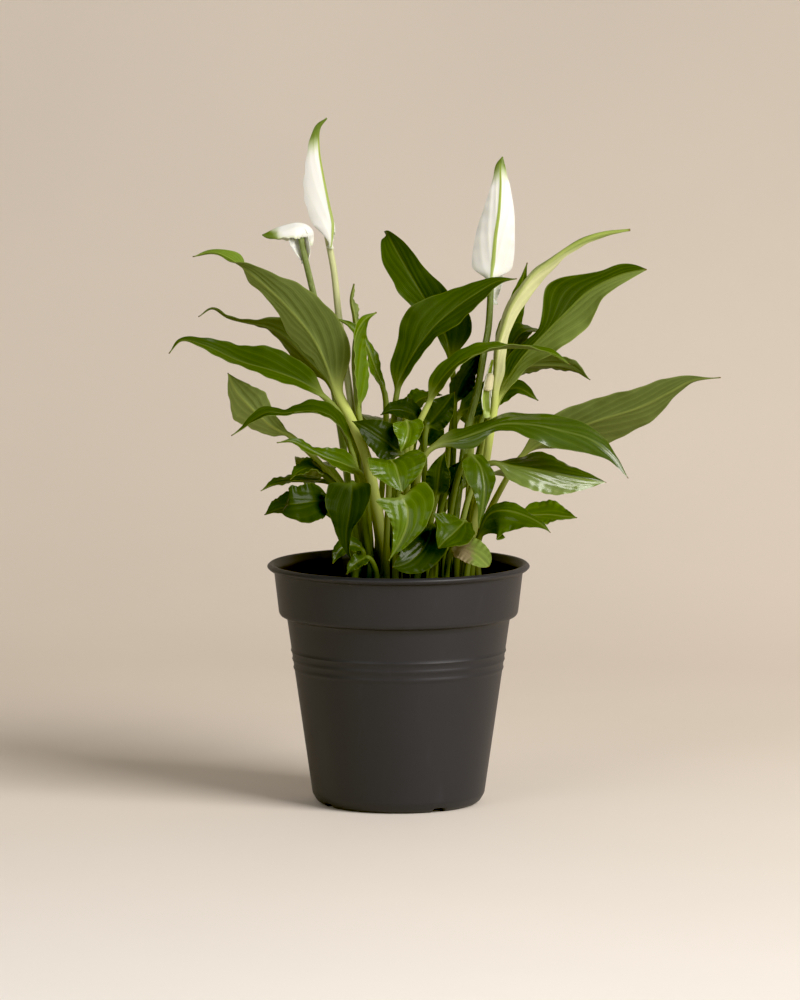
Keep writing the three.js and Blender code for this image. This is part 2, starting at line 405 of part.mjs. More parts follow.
// Places and directions along one smooth curve: the stalk's part of it first, then the blade's
function stations(leaf) {
  const below = leaf.root ? [
    new THREE.Vector3(...leaf.root, SOIL_TOP - ROOT_DEPTH),
    new THREE.Vector3(...leaf.root, SOIL_TOP + SOIL_MOUND),
    ...leaf.rise.map(place),
  ] : [];
  const points = [...below, ...leaf.blade.map(place)];
  const curve = new THREE.CatmullRomCurve3(points, false, 'centripetal');
  const lengths = curve.getLengths();
  const baseStep = Math.round((below.length / (points.length - 1)) * (lengths.length - 1));
  const baseShare = lengths[baseStep] / lengths.at(-1);
  const list = [];
  const stalkCount = leaf.root ? STALK_STATIONS : 0;
  for (let i = 0; i < stalkCount; i += 1) list.push({ share: baseShare * (i / stalkCount), s: 0 });
  for (let i = 0; i <= leaf.stations; i += 1) {
    const s = i / leaf.stations;
    list.push({ share: mix(baseShare, 1, s), s });
  }
  for (const station of list) {
    station.point = curve.getPointAt(station.share);
    station.along = curve.getTangentAt(station.share);
    station.onBlade = station.share >= baseShare;
    if (station.onBlade) station.up = across(blend(leaf.faces, station.s), station.along);
  }
  for (let i = stalkCount - 1; i >= 0; i -= 1) list[i].up = across(list[i + 1].up, list[i].along);
  return list;
}

// A number eased through evenly spaced keys
function keyed(keys, share) {
  const at = share * (keys.length - 1);
  const first = Math.min(Math.floor(at), keys.length - 2);
  return mix(keys[first], keys[first + 1], THREE.MathUtils.smoothstep(at - first, 0, 1));
}

// Width of the blade's left or right half at a share of its length: widest at its peak, drawn out to a point,
// and scaled by that side's keys
function halfWidth(leaf, s, side) {
  const rise = (s / leaf.peak) ** (leaf.peak * leaf.sharp);
  const fall = ((1 - s) / (1 - leaf.peak)) ** ((1 - leaf.peak) * leaf.sharp);
  return Math.max(leaf.width * rise * fall * keyed(side, s), leaf.neck * (1 - s), TIP_HALF_WIDTH);
}

// One closed ring of a leaf: a round stalk that widens into a folded, curled and waved blade
function leafRing(leaf, station) {
  const { s, point, along, up } = station;
  const side = along.clone().cross(up);
  const open = station.onBlade ? THREE.MathUtils.smoothstep(s, -0.02, 0.16) : 0;
  const radius = leaf.stalk * (1 + SHEATH * Math.max(0, 1 - station.share / SHEATH_SHARE));
  const fold = THREE.MathUtils.degToRad(leaf.fold);
  const curl = THREE.MathUtils.degToRad(leaf.curl);
  const top = [];
  const under = [];
  for (let k = 0; k < leaf.points; k += 1) {
    const v = -1 + (2 * k) / (leaf.points - 1);
    const half = halfWidth(leaf, s, v > 0 ? leaf.right : leaf.left);
    const slope = fold + curl * Math.abs(v);
    const turn = Math.PI * (1 - (k + 0.5) / leaf.points);
    const wave = leaf.wave * Math.sin(Math.PI * s) * v * v
      * Math.sin(2 * Math.PI * (leaf.waves * s + leaf.phase + (v > 0 ? WAVE_OFFSET : 0)));
    const x = (Math.sign(v) * half * (Math.sin(slope) - Math.sin(fold))) / curl;
    const z = (half * (Math.cos(fold) - Math.cos(slope))) / curl + wave;
    const back = -leaf.lobe * (1 - s) ** 3 * Math.abs(v) * Math.min(1, half / leaf.width);
    const thick = LEAF_THICKNESS + LEAF_KEEL * (1 - Math.abs(v)) * (1 - s);
    const lean = v === 0 ? 0 : Math.sign(v) * Math.sin(slope);
    const drop = v === 0 ? 1 : Math.cos(slope);
    const at = (right, rise) => point.clone()
      .addScaledVector(side, right).addScaledVector(up, rise).addScaledVector(along, back * open);
    top.push(at(mix(radius * Math.cos(turn), x, open), mix(radius * Math.sin(turn), z, open)));
    under.unshift(at(
      mix(radius * Math.cos(turn), x + thick * lean, open),
      mix(-radius * Math.sin(turn), z - thick * drop, open),
    ));
  }
  return [...top, ...under];
}

function leafGeometry(entry) {
  const leaf = { ...LEAF_DEFAULTS, ...entry };
  return loft(stations(leaf).map((station) => leafRing(leaf, station)));
}

// A round rod with a radius for each station, used for flower stalks, spadices and the holes in the soil
function rodGeometry(points, radiusAt, sides, steps) {
  const curve = new THREE.CatmullRomCurve3(points, false, 'centripetal');
  const rings = [];
  let up = new THREE.Vector3(1, 0, 0);
  for (let i = 0; i <= steps; i += 1) {
    const share = i / steps;
    const point = curve.getPointAt(share);
    const along = curve.getTangentAt(share);
    up = across(up, along);
    const side = along.clone().cross(up);
    const ring = [];
    for (let k = 0; k < sides; k += 1) {
      const turn = Math.PI * (1 - (2 * k + 1) / sides);
      const radius = radiusAt(share, i, k);
      ring.push(point.clone()
        .addScaledVector(side, radius * Math.cos(turn)).addScaledVector(up, radius * Math.sin(turn)));
    }
    rings.push(ring);
  }
  return loft(rings);
}

function stalkGeometry({ root, rise, radius }) {
  const points = [
    new THREE.Vector3(...root, SOIL_TOP - ROOT_DEPTH),
    new THREE.Vector3(...root, SOIL_TOP + SOIL_MOUND),
    ...rise.map(place),
  ];
  return rodGeometry(points, (share) => radius * mix(STALK_FOOT_SWELL, 1, share), STALK_SIDES, STALK_STEPS);
}

// Spadix: a blunt rod with staggered knobs
function spadixGeometry({ core, radius }) {
  const radiusAt = (share, i, k) => {
    const round = Math.sqrt(Math.max(0.04, 1 - (2 * share - 1) ** 6));
    const knob = (i + k) % 2 === 0 ? 1 : SPADIX_HOLLOW;
    return radius * round * knob * mix(1, SPADIX_TAPER, share);
  };
  return rodGeometry(core.map(place), radiusAt, SPADIX_SIDES, SPADIX_STEPS);
}

function solidOf(geometry) {
  const bare = geometry.clone();
  bare.deleteAttribute('normal');
  bare.deleteAttribute('uv');
  const merged = mergeVertices(bare, 1e-4);
  return new wasm.Manifold(new wasm.Mesh({
    numProp: 3,
    vertProperties: Float32Array.from(merged.attributes.position.array),
    triVerts: Uint32Array.from(merged.index.array),
  }));
}

function geometryOf(solid) {
  const { vertProperties, triVerts } = solid.getMesh();
  const geometry = new THREE.BufferGeometry();
  geometry.setAttribute('position', new THREE.BufferAttribute(vertProperties, 3));
  geometry.setIndex(new THREE.BufferAttribute(triVerts, 1));
  return geometry;
}

function turned(profile, sides) {
  const line = profile.map(([radius, height]) => new THREE.Vector2(radius, height));
  return new THREE.LatheGeometry(line, sides).rotateX(Math.PI / 2);
}

// Outside of the pot's wall from the foot's corner to under the rim, as [radius, height]
const WALL_LINE = [
  [BODY_FOOT_RADIUS - 2, 1.6], [BODY_FOOT_RADIUS, BODY_FOOT], [BODY_TOP_RADIUS, BODY_TOP],
  [BODY_TOP_RADIUS + 0.8, BODY_TOP + 1.8], [COLLAR_FOOT_RADIUS - 0.8, COLLAR_FOOT - 0.4],
  [COLLAR_FOOT_RADIUS, COLLAR_FOOT + 1], [COLLAR_TOP_RADIUS, POT_HEIGHT - RIM_DROP],
];

// Radius of the pot's inside at a height
function insideRadius(height) {
  const next = Math.max(1, WALL_LINE.findIndex(([, z]) => z >= height));
  const [[r0, z0], [r1, z1]] = [WALL_LINE[next - 1], WALL_LINE[next]];
  return mix(r0, r1, (height - z0) / (z1 - z0)) - WALL;
}

function potGeometry() {
  const rim = [
    [RIM_RADIUS - 1.4, POT_HEIGHT - RIM_DROP + 0.5], [RIM_RADIUS, POT_HEIGHT - RIM_DROP + 2],
    [RIM_RADIUS - 0.2, POT_HEIGHT - 1.2], [RIM_RADIUS - 1.6, POT_HEIGHT], [RIM_RADIUS - 3, POT_HEIGHT - 0.4],
    [COLLAR_TOP_RADIUS - WALL, POT_HEIGHT - RIM_DROP],
  ];
  const insideHeights = [COLLAR_FOOT + 1, BODY_TOP, FLOOR_TOP + 2];
  const profile = [
    [0, 0], [PAD_RADIUS, 0], [PAD_RADIUS + 0.6, FLOOR_UNDER], [FOOT_RADIUS - FOOT_RING_WIDTH, FLOOR_UNDER],
    [FOOT_RADIUS - FOOT_RING_WIDTH, 0], [FOOT_RADIUS, 0], ...WALL_LINE, ...rim,
    ...insideHeights.map((z) => [insideRadius(z), z]),
    [insideRadius(FLOOR_TOP) - FLOOR_CORNER, FLOOR_TOP], [0, FLOOR_TOP],
  ];
  let pot = solidOf(turned(profile, POT_SIDES));
  for (let i = 0; i < NOTCHES; i += 1) {
    const angle = NOTCH_TURN - Math.PI / 2 + (i * 2 * Math.PI) / NOTCHES;
    const notch = new THREE.BoxGeometry(FOOT_RING_WIDTH + 6, NOTCH_WIDTH, 2 * FLOOR_UNDER - 0.2);
    notch.translate(FOOT_RADIUS, 0, 0).rotateZ(angle);
    pot = pot.subtract(solidOf(notch));
  }
  for (let i = 0; i < DRAIN_HOLES; i += 1) {
    const angle = ((i + 0.5) * 2 * Math.PI) / DRAIN_HOLES;
    const hole = new THREE.CylinderGeometry(DRAIN_RADIUS, DRAIN_RADIUS, 2 * FLOOR_TOP, DRAIN_SIDES);
    hole.rotateX(Math.PI / 2);
    hole.translate(DRAIN_CIRCLE * Math.cos(angle), DRAIN_CIRCLE * Math.sin(angle), FLOOR_TOP);
    pot = pot.subtract(solidOf(hole));
  }
  return geometryOf(pot);
}

// Height of the soil's lumpy surface over its level, highest in the middle
function soilRise(x, y) {
  const out = Math.hypot(x, y) / insideRadius(SOIL_TOP);
  const lumps = Math.sin(0.31 * x + 1.3) * Math.cos(0.27 * y)
    + 0.6 * Math.sin(0.53 * (x + y)) * Math.sin(0.49 * (x - y));
  return SOIL_MOUND * (1 - out * out) * 0.5 + SOIL_LUMP * lumps * (1 - out ** 6);
}

function soilGeometry(stems) {
  const heights = [FLOOR_TOP + 2, BODY_TOP, COLLAR_FOOT + 1];
  const top = [];
  for (let i = 0; i <= SOIL_RINGS; i += 1) {
    const share = 1 - i / SOIL_RINGS;
    top.push([(insideRadius(SOIL_TOP) - GAP) * share, SOIL_TOP]);
  }
  const profile = [
    [0, FLOOR_TOP + GAP], [insideRadius(FLOOR_TOP) - FLOOR_CORNER - GAP, FLOOR_TOP + GAP],
    ...heights.map((z) => [insideRadius(z) - GAP, z]), ...top,
  ];
  const geometry = turned(profile, SOIL_SIDES);
  const { position } = geometry.attributes;
  for (let i = 0; i < position.count; i += 1) {
    if (position.getZ(i) > SOIL_TOP - 0.5) {
      position.setZ(i, SOIL_TOP + soilRise(position.getX(i), position.getY(i)));
    }
  }
  let soil = solidOf(geometry);
  for (const { root, radius } of stems) {
    const depth = ROOT_DEPTH + GAP;
    const height = depth + SOIL_MOUND + 2;
    const hole = new THREE.CylinderGeometry(radius, radius, height, HOLE_SIDES).rotateX(Math.PI / 2);
    hole.translate(root[0], root[1], SOIL_TOP - depth + height / 2);
    soil = soil.subtract(solidOf(hole));
  }
  return geometryOf(soil);
}

const MATERIALS = {
  pot: { color: 0x2b2b2c, roughness: 0.62, metalness: 0 },
  soil: { color: 0x3a281c, roughness: 0.95, metalness: 0 },
  leaf: { color: 0x3c5a17, roughness: 0.38, metalness: 0 },
  stalk: { color: 0x6f8c33, roughness: 0.5, metalness: 0 },
  spathe: { color: 0xf3f2ea, roughness: 0.45, metalness: 0 },
  spadix: { color: 0xe6e0a8, roughness: 0.7, metalness: 0 },
};

const plant = new THREE.Group();
function add(name, look, geometry) {
  const mesh = new THREE.Mesh(geometry, new THREE.MeshStandardMaterial(MATERIALS[look]));
  mesh.name = name;
  plant.add(mesh);
}

const leaves = LEAVES.map(([name, root, rise, blade, faces, shape]) => (
  { ...LEAF_DEFAULTS, name, root, rise, blade, faces, ...shape }
));
const stemHoles = [
  ...leaves.map(({ root, stalk }) => ({ root, radius: stalk * (1 + SHEATH) + HOLE_CLEARANCE })),
  ...BLOOMS.map(({ stalk: { root, radius } }) => (
    { root, radius: radius * STALK_FOOT_SWELL + HOLE_CLEARANCE }
  )),
];

add('pot', 'pot', potGeometry());
add('soil', 'soil', soilGeometry(stemHoles));
for (const leaf of leaves) add(leaf.name, 'leaf', leafGeometry(leaf));
for (const { name, stalk, spathe, spadix } of BLOOMS) {
  add(`${name}_stalk`, 'stalk', stalkGeometry(stalk));
  add(`${name}_spathe`, 'spathe', leafGeometry({ ...SPATHE_DEFAULTS, ...spathe }));
  if (spadix) add(`${name}_spadix`, 'spadix', spadixGeometry(spadix));
}
const young = solidOf(leafGeometry({ ...SPATHE_DEFAULTS, ...YOUNG_BLOOM.spathe }))
  .add(solidOf(spadixGeometry(YOUNG_BLOOM.spadix)));
add('bloom_young', 'spathe', geometryOf(young));

export default plant;
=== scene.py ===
# Potted peace lily: detailed leaves, blooms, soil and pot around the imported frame.
import math

import bpy
import numpy as np
from bpy.props import FloatProperty, FloatVectorProperty, IntProperty, PointerProperty
from bpy.types import Operator, Panel, PropertyGroup
from mathutils import Matrix


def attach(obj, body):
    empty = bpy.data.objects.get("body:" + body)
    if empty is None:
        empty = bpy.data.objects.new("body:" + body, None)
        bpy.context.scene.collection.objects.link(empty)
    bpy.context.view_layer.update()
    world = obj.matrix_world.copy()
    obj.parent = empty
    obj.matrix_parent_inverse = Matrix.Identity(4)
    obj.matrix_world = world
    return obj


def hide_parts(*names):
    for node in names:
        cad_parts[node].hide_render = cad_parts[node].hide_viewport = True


bl_info = {
    "name": "Potted peace lily",
    "version": (1, 0, 0),
    "blender": (4, 5, 0),
    "location": "View3D > Sidebar > Peace lily",
    "description": "Builds the pot, soil, leaves and blooms of a potted peace lily",
    "category": "Add Mesh",
}

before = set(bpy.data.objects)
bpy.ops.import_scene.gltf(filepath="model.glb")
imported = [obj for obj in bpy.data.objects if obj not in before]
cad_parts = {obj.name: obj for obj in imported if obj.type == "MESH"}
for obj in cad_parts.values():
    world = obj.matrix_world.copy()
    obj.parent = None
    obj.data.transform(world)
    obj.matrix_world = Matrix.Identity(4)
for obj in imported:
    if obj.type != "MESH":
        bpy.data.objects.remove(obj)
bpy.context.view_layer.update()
MM = 0.001

# Pot, in millimetres
POT_HEIGHT = 121.0
RIM_RADIUS = 65.75
RIM_DROP = 4.0
COLLAR_TOP_RADIUS = 62.3
COLLAR_FOOT_RADIUS = 59.9
COLLAR_FOOT = 95.2
BODY_TOP_RADIUS = 55.7
BODY_TOP = 92.2
BODY_FOOT_RADIUS = 43.2
BODY_FOOT = 5.0
FOOT_RADIUS = 38.75
FOOT_RING_WIDTH = 3.2
PAD_RADIUS = 15.0
WALL = 1.6
FLOOR_UNDER = 2.4
FLOOR_TOP = 4.4
RIDGE_HEIGHTS = (68.3, 72.6, 76.9)
RIDGE_SPREAD = 0.75
DRAIN_HOLES = 6
DRAIN_RADIUS = 4.0
DRAIN_CIRCLE = 25.0
NOTCHES = 4
NOTCH_WIDTH = 7.0
NOTCH_TURN = math.pi / 6
DRAIN_CUT = 20.0
DRAIN_SIDES = 32
FLOOR_BEVEL = 1.5
FOOT_ROUNDING = 0.7
FOOT_STEPS = 4
RIM_ROUNDING = 1.0
RIM_STEPS = 6
BODY_ROWS = 120

# The pot's outside from the foot's bevel to the collar's top, and its rolled rim, as [radius, height]
OUTSIDE = (
    (BODY_FOOT_RADIUS - 2, 1.6), (BODY_FOOT_RADIUS, BODY_FOOT), (BODY_TOP_RADIUS, BODY_TOP),
    (BODY_TOP_RADIUS + 0.8, BODY_TOP + 1.8), (COLLAR_FOOT_RADIUS - 0.8, COLLAR_FOOT - 0.4),
    (COLLAR_FOOT_RADIUS, COLLAR_FOOT + 1), (COLLAR_TOP_RADIUS, POT_HEIGHT - RIM_DROP),
)
RIM = (
    (RIM_RADIUS - 1.4, POT_HEIGHT - RIM_DROP + 0.5), (RIM_RADIUS, POT_HEIGHT - RIM_DROP + 2),
    (RIM_RADIUS - 0.2, POT_HEIGHT - 1.2), (RIM_RADIUS - 1.6, POT_HEIGHT), (RIM_RADIUS - 3, POT_HEIGHT - 0.4),
    (COLLAR_TOP_RADIUS - WALL, POT_HEIGHT - RIM_DROP),
)

# Soil, in millimetres
SOIL_TOP = 106.0
SOIL_MOUND = 3.0
SOIL_LUMP = 0.9
SOIL_GRAIN = 0.4
SOIL_RINGS = 60
SOIL_SIDES = 140
ROOT_DEPTH = 9.0
GAP = 0.3
SEED = 5

# Broad lumps of the soil: the pitches of two crossing waves and the phase of the first, and the pitches and
# share of two slanting ones
LUMP_PITCH = (0.31, 0.27)
LUMP_PHASE = 1.3
SLANT_PITCH = (0.53, 0.49)
SLANT_SHARE = 0.6

# Small waves of the soil: how many, and the ranges of their pitch across, pitch along and phase
GRAIN_WAVES = 40
GRAIN_RANGES = ((-1.6, 1.6), (-1.6, 1.6), (0, 6.3))

# Crumbs: their reach in mm, how flat and how knobbly they are, and how far out and up they lie
CRUMB_REACH = (0.4, 1.7)
CRUMB_FLATNESS = (0.5, 1.0)
CRUMB_KNOBS = (0.75, 1.2)
CRUMB_SPREAD = 0.96
CRUMB_LIFT = 0.1

# Leaves, in millimetres and degrees. A stalk is thicker by SHEATH at its foot, over SHEATH_SHARE of the
# length. BLADE_OPENS gives the shares of the blade between which the round stalk turns into it.
LEAF_THICKNESS = 0.5
TIP_HALF_WIDTH = 0.22
SHEATH = 0.45
SHEATH_SHARE = 0.35
BLADE_OPENS = (-0.02, 0.16)
WAVE_OFFSET = 0.31
RIPPLE_HEIGHT = 0.3
RIPPLE_WAVES = 3.7
RIPPLE_PHASE = 0.2
GROOVE_DEPTH = 0.35
GROOVE_WIDTH = 0.9
KEEL_AT_TIP = 0.2
KEEL_AT_FOOT = 0.9
KEEL_WIDTH = 1.0
MARGIN_THINNING = 0.35
ROW_CROWDING = 0.96
COLUMN_CROWDING = 0.4

# Side veins: the gap between two along the midrib, how far across the blade one runs while it gains a gap,
# and how deep they are pressed in the darkest leaves and in the brightest ones besides, in mm
VEIN_GAP = 21.0
VEIN_SWEEP = 4.2
VEIN_PRESS = 0.22
VEIN_PRESS_BRIGHT = 0.3

# Where the veins are pressed: how they bend, the shares across where they fade in and out, the share along
# where they begin, and the half width in mm from which they are pressed in full
VEIN_BEND = 0.8
VEIN_INNER = (0.02, 0.25)
VEIN_OUTER = (0.8, 1)
VEIN_FIRST = (0.02, 0.2)
VEIN_FULL_WIDTH = 8

# Angles from which an edge is sharp
POT_EDGE = 40
SOIL_EDGE = 60
LEAF_EDGE = 70
ROD_EDGE = 60

# Every blade's entry gives half its width and its fold, the angle at which each half rises from the midrib.
# It may also give these: the share of its length where it is widest, how pointed it is, the angle by which
# each half curls on, how far its base reaches back, height, number and phase of the margin's waves, its
# stalk's radius, half the width of its base, and factors on each half's width from base to tip.
LEAF_DEFAULTS = {
    "peak": 0.36, "sharp": 1.9, "curl": 0.01, "lobe": 0, "wave": 0.9, "waves": 2.5, "phase": 0,
    "stalk": 1.5, "neck": 1.3, "left": (1, 1), "right": (1, 1),
}

# Camera: its eye and what it looks at, in millimetres. Every plant point is [across, up, depth]: across and
# up are measured square to the line of sight, in millimetres at the pot's axis, and depth is how far behind
# the upright plane through that axis the point lies. The line of sight passes at SIGHT_ACROSS and SIGHT_UP.
EYE = np.array((0.0, -3100.0, 500.0))
AIM = np.array((0.75, 0.0, 152.4))
SIGHT_LENGTH = 3119.5
SIGHT_ACROSS = 0.75
SIGHT_UP = 151.0
LENS = 224.6
SENSOR = 36.0
FARTHEST = 100.0

# Stage: the sheet's reach to the sides and up, where it starts to rise and the radius of its bend, in
# millimetres; and each light's place, size and colour, and what the lights face, in metres
SHEET_REACH = 5000.0
SHEET_BACK = 500.0
SHEET_BEND = 900.0
SHEET_ROWS = 24
FILL_LIGHT = ((-1.3, -1.7, 0.9), 1.2, (1.0, 0.99, 0.97))
KEY_LIGHT = ((1.55, -1.35, 1.3), 1.35, (1.0, 0.97, 0.93))
LIGHT_AIM = (0, 0, 0.15)
SKY_COLOUR = (1.0, 0.985, 0.96, 1.0)

# Colours that aren't settings: each set of greens is the darkest and brightest above, then below
NEW_GREENS = ((0.1, 0.19, 0.02), (0.42, 0.48, 0.15), (0.16, 0.25, 0.03), (0.56, 0.56, 0.29))
OLD_GREENS = ((0.12, 0.17, 0.03), (0.24, 0.32, 0.08), (0.2, 0.16, 0.08), (0.4, 0.42, 0.2))
FRESH_GREEN = (0.16, 0.26, 0.02)
ROT_BROWN = (0.2, 0.15, 0.09)
TIP_BROWN = (0.12, 0.06, 0.02)
VEIN_GREEN = (0.55, 0.62, 0.3)
HOLLOW_GREEN = (0.42, 0.42, 0.12)

